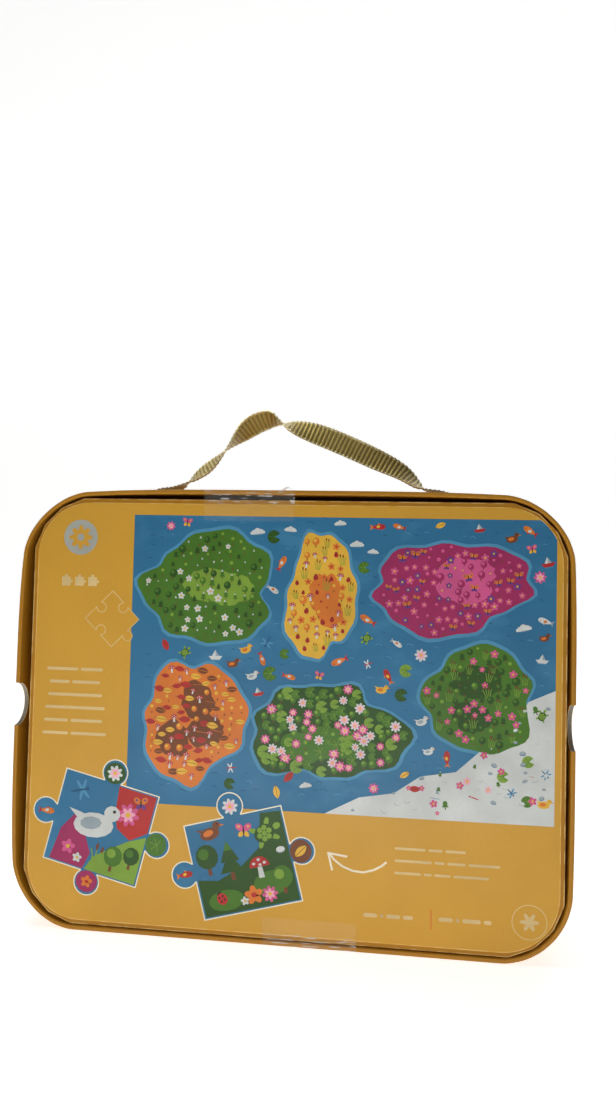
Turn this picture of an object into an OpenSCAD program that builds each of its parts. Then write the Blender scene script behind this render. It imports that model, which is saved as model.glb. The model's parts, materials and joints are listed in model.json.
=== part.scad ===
// Boxed jigsaw puzzle: a telescoping board box with a ribbon handle, and 300 pieces inside.
// X is the width, Y the depth with the tray's printed back at -Y, and Z is up.
// The box stands on the lid's bottom wall. All sizes are in millimetres.

/* [Puzzle pieces] */
// Width of a piece without its knobs
piece_w = 49.5; // [35:0.5:70]
// Height of a piece without its knobs
piece_h = 46; // [35:0.5:70]
// Thickness of a piece
piece_t = 2; // [1.4:0.05:2.6]
// Gap between neighbouring pieces
kerf = 0.2; // [0.15:0.05:0.4]
// How far a knob stands out of its piece
knob_reach = 11.5; // [9:0.5:14]
// Radius of a knob's round head
knob_r = 6.2; // [5:0.1:7.5]
// Half the width of a knob's neck
neck_half = 4.2; // [3:0.1:5]
// Gap between layers, and under the lowest one
layer_gap = 0.1; // [0.05:0.05:0.2]

/* [Room in the tray] */
// Room at each side of the pieces
side_room = 21; // [10:0.5:40]
// Room above the pieces
top_room = 3.3; // [2:0.1:30]
// Gap between the pieces and the tray wall that they rest on
piece_seat = 0.3; // [0.2:0.05:0.6]

/* [Box] */
// Depth of the closed box, front to back
box_d = 80; // [66:1:120]
// Radius of the tray's scored corners, outside
tray_corner_r = 32; // [20:1:40]
// Scored creases that bend each corner of the lid's wall
lid_creases = 6; // [2:1:10]
// Scored creases that bend each corner of the tray's wall
tray_creases = 4; // [2:1:10]

/* [Board and paper] */
// Thickness of the greyboard
board_t = 1.8; // [1.2:0.1:3]
// Thickness of the covering, lining and label papers
paper_t = 0.2; // [0.15:0.05:0.4]
// How far the covering paper is turned on to the panel faces
panel_turn_in = 14; // [8:1:18]
// How far the covering paper is turned into the shells at their open edges
edge_turn_in = 28; // [15:1:40]
// Edge of the shell left showing round each label
label_inset = 2.2; // [1:0.1:5]
// Corner radius of the labels
label_corner_r = 27.5; // [15:0.5:35]

/* [Fit] */
// Room between tray and lid at each side
side_clear = 3.4; // [2:0.1:5]
// Room above the tray when it rests on the lid's bottom wall
head_clear = 2.7; // [1.5:0.1:5]
// Running gap under the tray
seat_clear = 0.3; // [0.2:0.05:0.6]
// How far inside the bend of the lid's corners the tray's corners end
corner_clear = 0.1; // [0.05:0.05:0.5]
// How far the tray stands to the right of the lid's middle
tray_shift = 1.6; // [0:0.1:1.8]
// How far the tray's back lies behind the lid's free edge
recess = 1; // [0.5:0.1:4]
// Gap between the tray's rim and the inside of the lid's panel
rim_clear = 0.3; // [0.2:0.05:1]

/* [Thumb notches] */
// Radius of the notches in the lid's side walls
notch_r = 10.8; // [6:0.1:16]

/* [Ribbon] */
// Width of the ribbon
ribbon_w = 12; // [8:0.5:16]
// Thickness of the ribbon
ribbon_t = 0.5; // [0.3:0.05:0.8]
// Distance of each slit from the middle of the lid
slit_x = 82.5; // [60:0.5:100]
// Room round the ribbon in its slits
slit_clear = 0.3; // [0.2:0.05:0.5]
// Length of each tail glued inside the lid
tail_l = 24; // [10:1:40]
// Length of each foot, from its slit to the loop
foot_l = 19.5; // [12:0.5:26]
// Height of a foot's level stretch above the lid
foot_lift = 4.5; // [3.5:0.1:6]
// Radius of the bends in a foot
foot_bend = 3.5; // [2:0.1:3.5]
// Room under the loop's edge when it lies down
foot_clear = 2; // [1.5:0.1:4]
// Height of the loop above the lid
loop_rise = 43; // [30:1:60]
// Gap between the loop and its feet
loop_gap = 0.4; // [0.3:0.1:0.8]

/* [Tape seals] */
// Length of the seals along the edge
seal_l = 46; // [20:1:60]
// How far the seals reach on to the back label
seal_reach = 8.5; // [5:0.5:12]
// How far the top seal reaches over the lid
seal_over = 11; // [5:0.5:15]
// Thickness of the tape
seal_t = 0.1; // [0.06:0.01:0.2]
// Gap between the tape and the lid
seal_lift = 0.1; // [0.05:0.01:0.2]
// Middle of the top seal, from the middle of the lid
seal_top_x = -20; // [-40:1:40]
// Middle of the bottom seal, from the middle of the lid
seal_bottom_x = 15; // [-40:1:40]

/* [Hidden] */
$fn = 64;
eps = 1;

// Pieces: a puzzle of 20 by 15 is broken into full layers of 4 by 4 and short ones of 4 by 3
cols = 4;
full_rows = 4;
short_rows = 3;
full_layers = 15;
layers = 20;
layer_pitch = piece_t + layer_gap;
knob_centre = knob_reach - knob_r;

// Shells: a wall is board with paper on both faces, and the tray goes round the pieces
wall_t = board_t + 2 * paper_t;
core_t = board_t + paper_t;
tray_w = cols * piece_w + 2 * (knob_reach + side_room + wall_t);
tray_h = full_rows * piece_h + 2 * (knob_reach + wall_t) + piece_seat + top_room;
lid_w = tray_w + 2 * (side_clear + wall_t);
lid_h = tray_h + seat_clear + head_clear + 2 * wall_t;
// The lid's corners start to bend further out than the tray's, so that the seated tray clears them
lid_inner_r = min(
    tray_corner_r,
    (tray_corner_r * (1 - tan(45 / tray_creases)) + side_clear - tray_shift) / (1 - tan(45 / lid_creases))
        - corner_clear
);
lid_corner_r = lid_inner_r + wall_t;
tray_z = wall_t + seat_clear;
layer_x = tray_shift - cols * piece_w / 2;
layer_z = tray_z + wall_t + piece_seat + knob_reach;

// Faces of the lid from its free edge to its front, along Y
lid_edge_y = -box_d / 2;
lid_front_y = box_d / 2;
lid_board_front_y = lid_front_y - 2 * paper_t;
lid_board_back_y = lid_board_front_y - board_t;
lid_inside_y = lid_board_back_y - paper_t;

// Faces of the tray from its printed back to its rim, along Y
back_y = lid_edge_y + recess;
tray_board_back_y = back_y + 2 * paper_t;
tray_board_front_y = tray_board_back_y + board_t;
floor_y = tray_board_front_y + paper_t;
rim_y = lid_inside_y - rim_clear;

// Ribbon: each of the loop's points is a share of its half span, a share of its rise and a twist in degrees
loop_x = slit_x - foot_l;
foot_rise = ribbon_w / 2 + foot_clear;
loop_points = [
    [-1, 0, 0], [-0.78, 0.3, -4], [-0.61, 0.61, -18], [-0.45, 0.88, -48], [-0.3, 1, -40], [-0.19, 0.97, 0],
    [-0.06, 0.89, 55], [0.16, 0.76, 78], [0.37, 0.61, 78], [0.62, 0.41, 66], [0.86, 0.2, 22], [1, 0, 0]
];
loop_steps = 4;

function layer_name(number) = str("pieces_layer_", number < 10 ? "0" : "", number);

// Corners of a box outline whose round corners are creased, centred on X and standing on z
function creased(w, h, r, z, creases) = [
    for (corner = [0 : 3], crease = [0 : creases - 1])
        let (
            turn = 90 / creases,
            angle = 90 * corner + (crease + 0.5) * turn,
            reach = r / cos(turn / 2),
            side_x = corner == 0 || corner == 3 ? 1 : -1,
            side_z = corner < 2 ? 1 : -1
        )
        [0, z + h / 2] + [side_x * (w / 2 - r), side_z * (h / 2 - r)] + reach * [cos(angle), sin(angle)]
];

// Corners of a thin strip of even thickness along a bent line
function strip(line, t) = concat(
    [for (i = [0 : len(line) - 1]) line[i] + mitre(line, i) * t / 2],
    [for (i = [len(line) - 1 : -1 : 0]) line[i] - mitre(line, i) * t / 2]
);
function unit(v) = v / norm(v);
function left_of(v) = [-v[1], v[0]];
function mitre(line, i) = let (
        before = unit(i == 0 ? line[1] - line[0] : line[i] - line[i - 1]),
        after = unit(i == len(line) - 1 ? line[i] - line[i - 1] : line[i + 1] - line[i])
    ) left_of(before + after) / (1 + before * after);

// Smooth curve through a list of points, with the same number of steps in each stretch
function smooth(points, steps) = concat(
    [for (i = [0 : len(points) - 2], s = [0 : steps - 1]) stretch(points, i, s / steps)],
    [points[len(points) - 1]]
);
function stretch(points, i, t) = let (
        last = len(points) - 1,
        a = points[max(i - 1, 0)],
        b = points[i],
        c = points[i + 1],
        d = points[min(i + 2, last)]
    ) 0.5 * (2 * b + (c - a) * t + (2 * a - 5 * b + 4 * c - d) * t * t + (3 * b - a - 3 * c + d) * t * t * t);

// Shapes drawn in X and Z, and drawn out along Y from y0 to y1
module along_y(y0, y1) {
    translate([0, y1, 0]) rotate([90, 0, 0]) linear_extrude(y1 - y0) children();
}

module lid_outline(inset) {
    w = lid_w - 2 * inset;
    h = lid_h - 2 * inset;
    polygon(creased(w, h, lid_corner_r - inset, inset, lid_creases));
}

module tray_outline(inset) {
    w = tray_w - 2 * inset;
    h = tray_h - 2 * inset;
    translate([tray_shift, 0]) polygon(creased(w, h, tray_corner_r - inset, tray_z + inset, tray_creases));
}

module lid_ring(outer, inner) {
    difference() {
        lid_outline(outer);
        lid_outline(inner);
    }
}

module tray_ring(outer, inner) {
    difference() {
        tray_outline(outer);
        tray_outline(inner);
    }
}

// A label's outline: a rectangle with round corners, centred on X and standing on z
module label_outline(w, h, r, z) {
    translate([0, z + h / 2]) {
        square([w, h - 2 * r], center = true);
        square([w - 2 * r, h], center = true);
        for (x = [-1, 1], y = [-1, 1]) translate([x * (w / 2 - r), y * (h / 2 - r)]) circle(r);
    }
}

// Thumb notches and ribbon slits, cut through board and paper alike
module lid_cuts() {
    translate([0, lid_edge_y, lid_h / 2])
        rotate([0, 90, 0]) cylinder(r = notch_r, h = lid_w + 2 * eps, center = true);
    for (side = [-1, 1])
        translate([side * slit_x, 0, lid_h])
            cube([ribbon_t + 2 * slit_clear, ribbon_w + 2 * slit_clear, 3 * wall_t], center = true);
}

module lid_panel_board() {
    color("#8c8880") along_y(lid_board_back_y, lid_board_front_y) lid_outline(core_t);
}

module lid_wall_board() {
    color("#8c8880") difference() {
        along_y(lid_edge_y + paper_t, lid_board_front_y) lid_ring(paper_t, core_t);
        lid_cuts();
    }
}

module lid_wall_wrap() {
    color("#c99a35") difference() {
        union() {
            along_y(lid_edge_y, lid_front_y - paper_t) lid_ring(0, paper_t);
            along_y(lid_edge_y, lid_edge_y + paper_t) lid_ring(0, wall_t);
            along_y(lid_edge_y, lid_edge_y + edge_turn_in) lid_ring(core_t, wall_t);
            along_y(lid_board_front_y, lid_board_front_y + paper_t) lid_ring(0, panel_turn_in);
        }
        lid_cuts();
    }
}

module lid_front_label() {
    label_w = lid_w - 2 * label_inset;
    label_h = lid_h - 2 * label_inset;
    color("#d8a83c") {
        along_y(lid_front_y - paper_t, lid_front_y)
            label_outline(label_w, label_h, label_corner_r, label_inset);
        along_y(lid_board_front_y, lid_front_y - paper_t) lid_outline(panel_turn_in);
    }
}

module lid_panel_lining() {
    color("#ece6d8") along_y(lid_inside_y, lid_board_back_y) lid_outline(core_t);
}

module lid_wall_lining() {
    color("#ece6d8") difference() {
        along_y(lid_edge_y + edge_turn_in, lid_inside_y) lid_ring(core_t, wall_t);
        lid_cuts();
    }
}

// The right foot: a tail glued inside, the ribbon through its slit, and the bend up to the loop
module ribbon_foot_right() {
    inside_z = lid_h - wall_t - ribbon_t / 2;
    level_z = lid_h + foot_lift;
    end = [loop_x, lid_h + foot_rise];
    rise = [-foot_bend, end[1] - level_z];
    line = [
        [slit_x - tail_l, inside_z], [slit_x, inside_z], [slit_x, level_z - foot_bend],
        [slit_x - foot_bend, level_z], end - rise, end + rise
    ];
    color("#b59a4c") difference() {
        along_y(-ribbon_w / 2, ribbon_w / 2) polygon(strip(line, ribbon_t));
        translate([loop_x - lid_w, -ribbon_w, lid_h]) cube([lid_w, 2 * ribbon_w, lid_h]);
    }
}

module ribbon_foot_left() {
    color("#b59a4c") mirror([1, 0, 0]) ribbon_foot_right();
}

// The loop: a flat ribbon swept along its points and twisted about its own line
module ribbon_loop() {
    half_span = loop_x - loop_gap;
    path = [
        for (p = smooth(loop_points, loop_steps))
            [half_span * p[0], foot_rise + (loop_rise - foot_rise) * p[1], p[2]]
    ];
    last = len(path) - 1;
    rings = [
        for (i = [0 : last])
            let (
                ahead = path[min(i + 1, last)] - path[max(i - 1, 0)],
                along = unit([ahead[0], ahead[1]]),
                centre = [path[i][0], 0, lid_h + path[i][1]],
                at_end = i == 0 || i == last,
                up = at_end ? [0, 0, 1 / along[0]] : [-along[1], 0, along[0]],
                twist = path[i][2],
                across = (cos(twist) * [0, 1, 0] + sin(twist) * up) * ribbon_w / 2,
                face = (cos(twist) * up - sin(twist) * [0, 1, 0]) * ribbon_t / 2
            )
            each [
                centre + across + face, centre - across + face,
                centre - across - face, centre + across - face
            ]
    ];
    sides = [
        for (i = [0 : last - 1], k = [0 : 3])
            let (a = 4 * i + k, b = 4 * i + (k + 1) % 4)
            each [[a, b, b + 4], [a, b + 4, a + 4]]
    ];
    end = 4 * last;
    caps = [[2, 1, 0], [3, 2, 0], [end, end + 1, end + 2], [end, end + 2, end + 3]];
    color("#b59a4c") polyhedron(points = rings, faces = concat(sides, caps));
}

module tray_panel_board() {
    color("#8c8880") along_y(tray_board_back_y, tray_board_front_y) tray_outline(core_t);
}

module tray_wall_board() {
    color("#8c8880") along_y(tray_board_back_y, rim_y - paper_t) tray_ring(paper_t, core_t);
}

module tray_wall_wrap() {
    color("#c99a35") {
        along_y(back_y + paper_t, rim_y) tray_ring(0, paper_t);
        along_y(rim_y - paper_t, rim_y) tray_ring(0, wall_t);
        along_y(rim_y - edge_turn_in, rim_y) tray_ring(core_t, wall_t);
        along_y(back_y + paper_t, tray_board_back_y) tray_ring(0, panel_turn_in);
    }
}

module tray_back_label() {
    label_w = tray_w - 2 * label_inset;
    label_h = tray_h - 2 * label_inset;
    color("#d8a83c") {
        along_y(back_y, back_y + paper_t)
            translate([tray_shift, 0]) label_outline(label_w, label_h, label_corner_r, tray_z + label_inset);
        along_y(back_y + paper_t, tray_board_back_y) tray_outline(panel_turn_in);
    }
}

module tray_floor_lining() {
    color("#ece6d8") along_y(tray_board_front_y, floor_y) tray_outline(core_t);
}

module tray_wall_lining() {
    color("#ece6d8") along_y(floor_y, rim_y - edge_turn_in) tray_ring(core_t, wall_t);
}

// A seal is a bent strip of tape drawn in Y and Z, and drawn out along X
module seal(line, x) {
    color("#e8e8e8", 0.4)
        translate([x - seal_l / 2, 0, 0])
            rotate([90, 0, 90]) linear_extrude(seal_l) polygon(strip(line, seal_t));
}

module tape_seal_top() {
    label_y = back_y - seal_t / 2;
    edge_y = lid_edge_y - seal_lift - seal_t / 2;
    over_z = lid_h + seal_lift + seal_t / 2;
    tray_top = tray_z + tray_h;
    seal([
        [label_y, tray_top - label_inset - seal_reach], [label_y, tray_top],
        [edge_y, lid_h - wall_t], [edge_y, over_z], [edge_y + seal_over, over_z]
    ], seal_top_x);
}

module tape_seal_bottom() {
    label_y = back_y - seal_t / 2;
    edge_y = lid_edge_y - seal_lift - seal_t / 2;
    seal([
        [edge_y, paper_t], [edge_y, wall_t], [label_y, tray_z + label_inset / 2],
        [label_y, tray_z + label_inset + seal_reach]
    ], seal_bottom_x);
}

// Knobs on all four sides of a piece; grow makes them the sockets that they fit
module knobs(grow, direction) {
    for (side = [0 : 3]) {
        half = side % 2 == 0 ? piece_w / 2 : piece_h / 2;
        rotate(90 * side) translate([half, 0]) {
            translate([direction * knob_centre, 0]) circle(knob_r + grow);
            translate([direction * knob_centre / 2, 0])
                square([knob_centre + 2 * kerf, 2 * (neck_half + grow)], center = true);
        }
    }
}

module piece_with_knobs() {
    square([piece_w - kerf, piece_h - kerf], center = true);
    knobs(0, 1);
}

module piece_with_sockets() {
    difference() {
        square([piece_w - kerf, piece_h - kerf], center = true);
        knobs(kerf, -1);
    }
}

// A layer of interlocking pieces; knobbed and socketed pieces change places from layer to layer
module pieces_layer(number) {
    y0 = floor_y + layer_gap + (number - 1) * layer_pitch;
    rows = number <= full_layers ? full_rows : short_rows;
    color(number % 2 == 0 ? "#5b9fc4" : "#6fae5a")
        for (col = [0 : cols - 1], row = [0 : rows - 1])
            along_y(y0, y0 + piece_t)
                translate([layer_x + (col + 0.5) * piece_w, layer_z + (row + 0.5) * piece_h])
                    if ((col + row + number) % 2 == 0) piece_with_knobs(); else piece_with_sockets();
}

lid_panel_board();
lid_wall_board();
lid_wall_wrap();
lid_front_label();
lid_panel_lining();
lid_wall_lining();
ribbon_foot_left();
ribbon_foot_right();
ribbon_loop();
tray_panel_board();
tray_wall_board();
tray_wall_wrap();
tray_back_label();
tray_floor_lining();
tray_wall_lining();
tape_seal_top();
tape_seal_bottom();
for (number = [1 : layers]) pieces_layer(number);
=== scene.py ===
"""Looks of a boxed jigsaw puzzle: its papers, boards, ribbon, tape, print and pieces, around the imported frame."""

import json
import math
import random

import bmesh
import bpy
from bpy.props import FloatProperty, FloatVectorProperty, IntProperty, PointerProperty
from bpy.types import Operator, Panel, PropertyGroup
from mathutils import Matrix, Vector, noise


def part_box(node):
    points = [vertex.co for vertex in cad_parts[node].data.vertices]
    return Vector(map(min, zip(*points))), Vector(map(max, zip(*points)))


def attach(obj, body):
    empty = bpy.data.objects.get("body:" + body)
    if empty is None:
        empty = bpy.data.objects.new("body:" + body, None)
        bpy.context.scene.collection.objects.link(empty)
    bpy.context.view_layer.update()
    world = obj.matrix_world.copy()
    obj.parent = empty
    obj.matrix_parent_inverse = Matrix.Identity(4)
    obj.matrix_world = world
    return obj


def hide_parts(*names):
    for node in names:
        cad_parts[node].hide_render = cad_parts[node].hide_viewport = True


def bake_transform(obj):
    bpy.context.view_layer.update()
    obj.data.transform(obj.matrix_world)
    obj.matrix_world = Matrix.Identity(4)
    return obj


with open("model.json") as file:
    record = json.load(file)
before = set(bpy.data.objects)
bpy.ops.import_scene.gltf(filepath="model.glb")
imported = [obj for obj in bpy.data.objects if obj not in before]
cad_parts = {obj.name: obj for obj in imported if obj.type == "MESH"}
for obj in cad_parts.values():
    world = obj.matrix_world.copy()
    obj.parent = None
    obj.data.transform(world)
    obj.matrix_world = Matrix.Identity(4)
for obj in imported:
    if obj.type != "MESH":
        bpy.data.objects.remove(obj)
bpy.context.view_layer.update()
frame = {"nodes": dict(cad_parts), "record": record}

bl_info = {
    "name": "Boxed jigsaw puzzle",
    "version": (1, 0, 0),
    "blender": (4, 5, 0),
    "location": "View3D > Sidebar > Puzzle box",
    "description": "Builds the papers, boards, ribbon, tape, print and pieces of a boxed jigsaw puzzle",
    "category": "Add Mesh",
}

MM = 0.001
TINY = 1e-6

# Places and thicknesses that the frame gives, in metres
LID_LOW, LID_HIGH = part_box("lid_wall_wrap")
TRAY_LOW, TRAY_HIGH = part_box("tray_wall_wrap")
BOARD_LOW, BOARD_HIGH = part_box("lid_wall_board")
LINING_LOW, LINING_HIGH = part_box("lid_wall_lining")
FRONT_LOW, FRONT_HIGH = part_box("lid_front_label")
BACK_LOW, BACK_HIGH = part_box("tray_back_label")
TRAY_LINING_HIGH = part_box("tray_wall_lining")[1]
TOP_SEAL_LOW, TOP_SEAL_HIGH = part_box("tape_seal_top")
BOTTOM_SEAL_LOW, BOTTOM_SEAL_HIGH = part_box("tape_seal_bottom")
PAPER = BOARD_LOW.x - LID_LOW.x
CORE = LINING_LOW.x - LID_LOW.x
WALL = CORE + PAPER
LID_TOP = LID_HIGH.z
LAYERS = sorted(n for n in frame["nodes"] if n.startswith("pieces_layer_"))
LAYER_BODY = {n: b for b, nodes in frame["record"]["behaviour"]["bodies"].items() for n in nodes}

# Thickness of one printed ink, and how far the lowest ink reaches into the paper
INK = 0.015 * MM
INK_ROOT = 0.01 * MM
# How far the front label and the paper under it are pressed in, so that the print stays within the box
PRINT_ROOM = 0.18 * MM
PRESSED = 0.1 * MM


def srgb(code):
    """Scene-linear red, green and blue of a colour written as six hex digits."""
    parts = [int(code[i:i + 2], 16) / 255 for i in (0, 2, 4)]
    return tuple(c / 12.92 if c <= 0.04045 else ((c + 0.055) / 1.055) ** 2.4 for c in parts)


def length(name, text, default):
    return FloatProperty(name=name, description=text, default=default, subtype="DISTANCE", unit="LENGTH")


def colour(name, text, code):
    return FloatVectorProperty(
        name=name, description=text, default=srgb(code), size=3, min=0, max=1, subtype="COLOR"
    )


class PUZZLEBOX_PG_box(PropertyGroup):
    """Sizes and colours of the lid, the tray and their labels"""
    lid_corner_r: length("Lid corner radius", "Radius of the lid's bent corners", 33.7 * MM)
    tray_corner_r: length("Tray corner radius", "Radius of the tray's bent corners", 32 * MM)
    lid_creases: IntProperty(name="Lid creases", description="Creases in each corner of the lid", default=6)
    tray_creases: IntProperty(name="Tray creases", description="Creases in each corner of the tray", default=4)
    lid_softness: length("Lid crease softness", "How far each crease of the lid is rounded off", 3.4 * MM)
    tray_softness: length("Tray crease softness", "How far each crease of the tray is rounded off", 1.1 * MM)
    rim_round: length("Rim rounding", "Radius of the paper where it turns over a free edge", 0.55 * MM)
    fold_round: length("Fold rounding", "Radius of the paper where a wall meets a panel", 0.7 * MM)
    panel_turn_in: length("Panel turn-in", "How far the covering paper lies on a panel", 14 * MM)
    label_corner_r: length("Label corner radius", "Radius of the labels' corners", 27.5 * MM)
    # The pale cut edge of the labels is partly the paper's white core and partly painted highlight.
    label_edge: length("Label edge", "Width of the pale cut edge of the labels", 0.42 * MM)
    notch_r: length("Notch radius", "Radius of the thumb notches", 10.8 * MM)
    cover: colour("Cover paper", "Covering paper of the lid and the tray", "b07a1e")
    label: colour("Label", "Ground colour of the printed labels", "d09c34")
    # The pale colour of folds and cut edges: partly real wear, partly painted highlight where they would catch the
    # light.
    worn: colour("Worn edge", "Paper where its colour has rubbed off", "e9bf6e")
    board: colour("Greyboard", "Cut faces of the board", "8f8b82")
    lining: colour("Lining paper", "Paper inside the lid and the tray", "e9e2d2")


class PUZZLEBOX_PG_ribbon(PropertyGroup):
    """Sizes and colours of the ribbon handle"""
    width: length("Width", "Width of the ribbon", 12 * MM)
    thickness: length("Thickness", "Thickness of the ribbon's cloth", 0.28 * MM)
    rib_pitch: length("Rib pitch", "Distance from rib to rib along the ribbon", 2.3 * MM)
    rib_height: length("Rib height", "Height of the ribs", 0.34 * MM)
    selvedge: length("Selvedge", "Thickness of the ribbon's woven edges", 0.8 * MM)
    thread: colour("Thread", "Gold thread of the ribbon", "b29a4a")
    # The glint colour is painted highlight: the cream light that the ribbon's ribs and edges would catch.
    glint: colour("Glint", "Light thread between the gold", "e4d9a6")


class PUZZLEBOX_PG_inks(PropertyGroup):
    """Inks of the printed pictures"""
    water: colour("Water", "Deep water", "2b6a8f")
    shallow: colour("Shallow", "Light water and ripples", "4d8fb2")
    deep: colour("Deep", "Shadows in the water", "1f557a")
    leaf: colour("Leaf", "Lily pads and trees", "47741f")
    leaf_dark: colour("Dark leaf", "Undergrowth", "2b4f15")
    leaf_light: colour("Light leaf", "Veins and young leaves", "7da037")
    pink: colour("Pink", "Flowers", "d2578b")
    blush: colour("Blush", "Inner petals", "efa9bd")
    magenta: colour("Magenta", "Heather ground", "a02a5c")
    violet: colour("Violet", "Small blossoms", "6d3a86")
    orange: colour("Orange", "Fish and late leaves", "d9772a")
    yellow: colour("Yellow", "Sand and flower centres", "e2b13a")
    red: colour("Red", "Caps and berries", "b52a26")
    brown: colour("Brown", "Bark and reeds", "74401f")
    white: colour("White", "Foam, stones and birds", "cfd2ce")
    grey: colour("Grey", "Shadows of stones", "98a6ac")
    dark: colour("Dark", "Eyes and outlines", "26221f")
    pale: colour("Pale", "Lines and marks on the label", "dcbf84")
    chalk: colour("Chalk", "The arrow and the edge lines of the printed pieces", "efe4c8")
    mist: colour("Mist", "The round badge", "a9aba2")


class PUZZLEBOX_PG_pieces(PropertyGroup):
    """Sizes and colours of the puzzle pieces"""
    width: length("Piece width", "Width of a piece without its knobs", 49.5 * MM)
    height: length("Piece height", "Height of a piece without its knobs", 46 * MM)
    kerf: length("Kerf", "Gap between neighbouring pieces", 0.2 * MM)
    knob_reach: length("Knob reach", "How far a knob stands out", 11.5 * MM)
    knob_r: length("Knob radius", "Radius of a knob's head", 6.2 * MM)
    neck: length("Neck", "Half the width of a knob's neck", 4.2 * MM)
    press: length("Pressed edge", "Width of the edge that the die rounds", 0.45 * MM)
    board: colour("Chipboard", "Back and sides of a piece", "9a948b")


class PUZZLEBOX_PG_stage(PropertyGroup):
    """Floor, light and camera"""
    floor: colour("Floor", "Plain pale floor", "f4f4f2")
    glow: FloatProperty(name="Glow", description="Light that the floor itself gives, which keeps it pale", default=0.74)
    sky: FloatProperty(name="Sky", description="Strength of the even light all round", default=0.1)
    key: FloatProperty(name="Key", description="Power of the long light low in front", default=0.27, unit="POWER")
    top: FloatProperty(name="Top", description="Power of the soft light above on the left", default=1.2, unit="POWER")
    back: FloatProperty(name="Back", description="Power of the light behind", default=5.0, unit="POWER")
    lens: FloatProperty(name="Lens", description="Focal length in millimetres", default=27.44, unit="CAMERA")


class PUZZLEBOX_PG_all(PropertyGroup):
    """Everything that the panel shows"""
    box: PointerProperty(type=PUZZLEBOX_PG_box)
    ribbon: PointerProperty(type=PUZZLEBOX_PG_ribbon)
    inks: PointerProperty(type=PUZZLEBOX_PG_inks)
    pieces: PointerProperty(type=PUZZLEBOX_PG_pieces)
    stage: PointerProperty(type=PUZZLEBOX_PG_stage)


def look():
    """The sizes and colours in the panel."""
    return bpy.context.scene.puzzle_box


# Handling objects

def clear_selection():
    if bpy.context.object and bpy.context.object.mode != "OBJECT":
        bpy.ops.object.mode_set(mode="OBJECT")
    bpy.ops.object.select_all(action="DESELECT")


def take(obj):
    """Makes one object the only one selected."""
    clear_selection()
    obj.select_set(True)
    bpy.context.view_layer.objects.active = obj


def made(name):
    """Names the object that an operator has just added."""
    obj = bpy.context.object
    obj.name = name
    obj.data.name = name
    return obj


def remove(obj):
    bpy.data.objects.remove(obj, do_unlink=True)


def join(objects, name):
    """Joins objects into one."""
    clear_selection()
    for obj in objects:
        obj.select_set(True)
    bpy.context.view_layer.objects.active = objects[0]
    bpy.ops.object.join()
    return made(name)


def pick(obj, kind, test):
    """Goes into edit mode with only the edges or faces selected that pass a test."""
    take(obj)
    bpy.ops.object.mode_set(mode="EDIT")
    bpy.ops.mesh.select_mode(type=kind)
    bpy.ops.mesh.select_all(action="DESELECT")
    mesh = bmesh.from_edit_mesh(obj.data)
    for item in (mesh.edges if kind == "EDGE" else mesh.faces):
        item.select_set(test(item))
    bmesh.update_edit_mesh(obj.data)


def leave():
    bpy.ops.object.mode_set(mode="OBJECT")


def bevel(obj, test, width, steps):
    """Rounds the edges that pass a test."""
    pick(obj, "EDGE", test)
    bpy.ops.mesh.bevel(offset=width, segments=steps, profile=0.5)
    leave()


def modify(obj, kind, **values):
    """Adds a modifier, sets it and applies it."""
    take(obj)
    bpy.ops.object.modifier_add(type=kind)
    modifier = obj.modifiers[-1]
    for name, value in values.items():
        setattr(modifier, name, value)
    bpy.ops.object.modifier_apply(modifier=modifier.name)


def face_out(obj):
    take(obj)
    bpy.ops.object.mode_set(mode="EDIT")
    bpy.ops.mesh.select_all(action="SELECT")
    bpy.ops.mesh.normals_make_consistent(inside=False)
    leave()


def shade(obj, degrees):
    take(obj)
    bpy.ops.object.shade_smooth_by_angle(angle=math.radians(degrees))


def paint(obj, *materials):
    obj.data.materials.clear()
    for material in materials:
        obj.data.materials.append(material)


def give_slot(obj, slot):
    """Gives the selected faces one of the piece's materials."""
    obj.active_material_index = slot
    bpy.ops.object.material_slot_assign()


def twin_of(model):
    """A copy of a model with its own mesh."""
    twin = model.copy()
    twin.data = twin.data.copy()
    bpy.context.scene.collection.objects.link(twin)
    return twin


def seat(piece, body, slot, *nodes):
    """Puts a finished piece on its body, in place of its nodes."""
    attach(piece, body)
    if nodes:
        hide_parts(*nodes)


def prism(name, outline, start, end):
    """A closed block whose outline lies in X and Z, drawn out along Y from start to end."""
    area = sum(a[0] * b[1] - b[0] * a[1] for a, b in zip(outline[-1:] + outline[:-1], outline))
    if (area > 0) != (end > start):
        outline = outline[::-1]
    clear_selection()
    bpy.ops.mesh.primitive_cylinder_add(vertices=len(outline), end_fill_type="NGON")
    block = made(name)
    for i, (x, z) in enumerate(outline):
        block.data.vertices[2 * i].co = (x, start, z)
        block.data.vertices[2 * i + 1].co = (x, end, z)
    block.data.update()
    return block


def shaped_grid(name, across, along, rule):
    """A grid of faces whose points are placed by a rule of two shares, from 0 to 1, across and along."""
    clear_selection()
    bpy.ops.mesh.primitive_grid_add(x_subdivisions=along, y_subdivisions=across, size=1, calc_uvs=True)
    sheet = made(name)
    for vertex in sheet.data.vertices:
        vertex.co = rule(vertex.co.y + 0.5, vertex.co.x + 0.5)
    sheet.data.update()
    return sheet


# Materials

def material_of(name):
    """A new material with its tree and its shader."""
    material = bpy.data.materials.new(name)
    material.use_nodes = True
    tree = material.node_tree
    return material, tree, tree.nodes["Principled BSDF"]


def coordinates(tree, output="Object", scale=(1, 1, 1)):
    source = tree.nodes.new("ShaderNodeTexCoord")
    mapping = tree.nodes.new("ShaderNodeMapping")
    mapping.inputs["Scale"].default_value = scale
    tree.links.new(source.outputs[output], mapping.inputs["Vector"])
    return mapping.outputs["Vector"]


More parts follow.
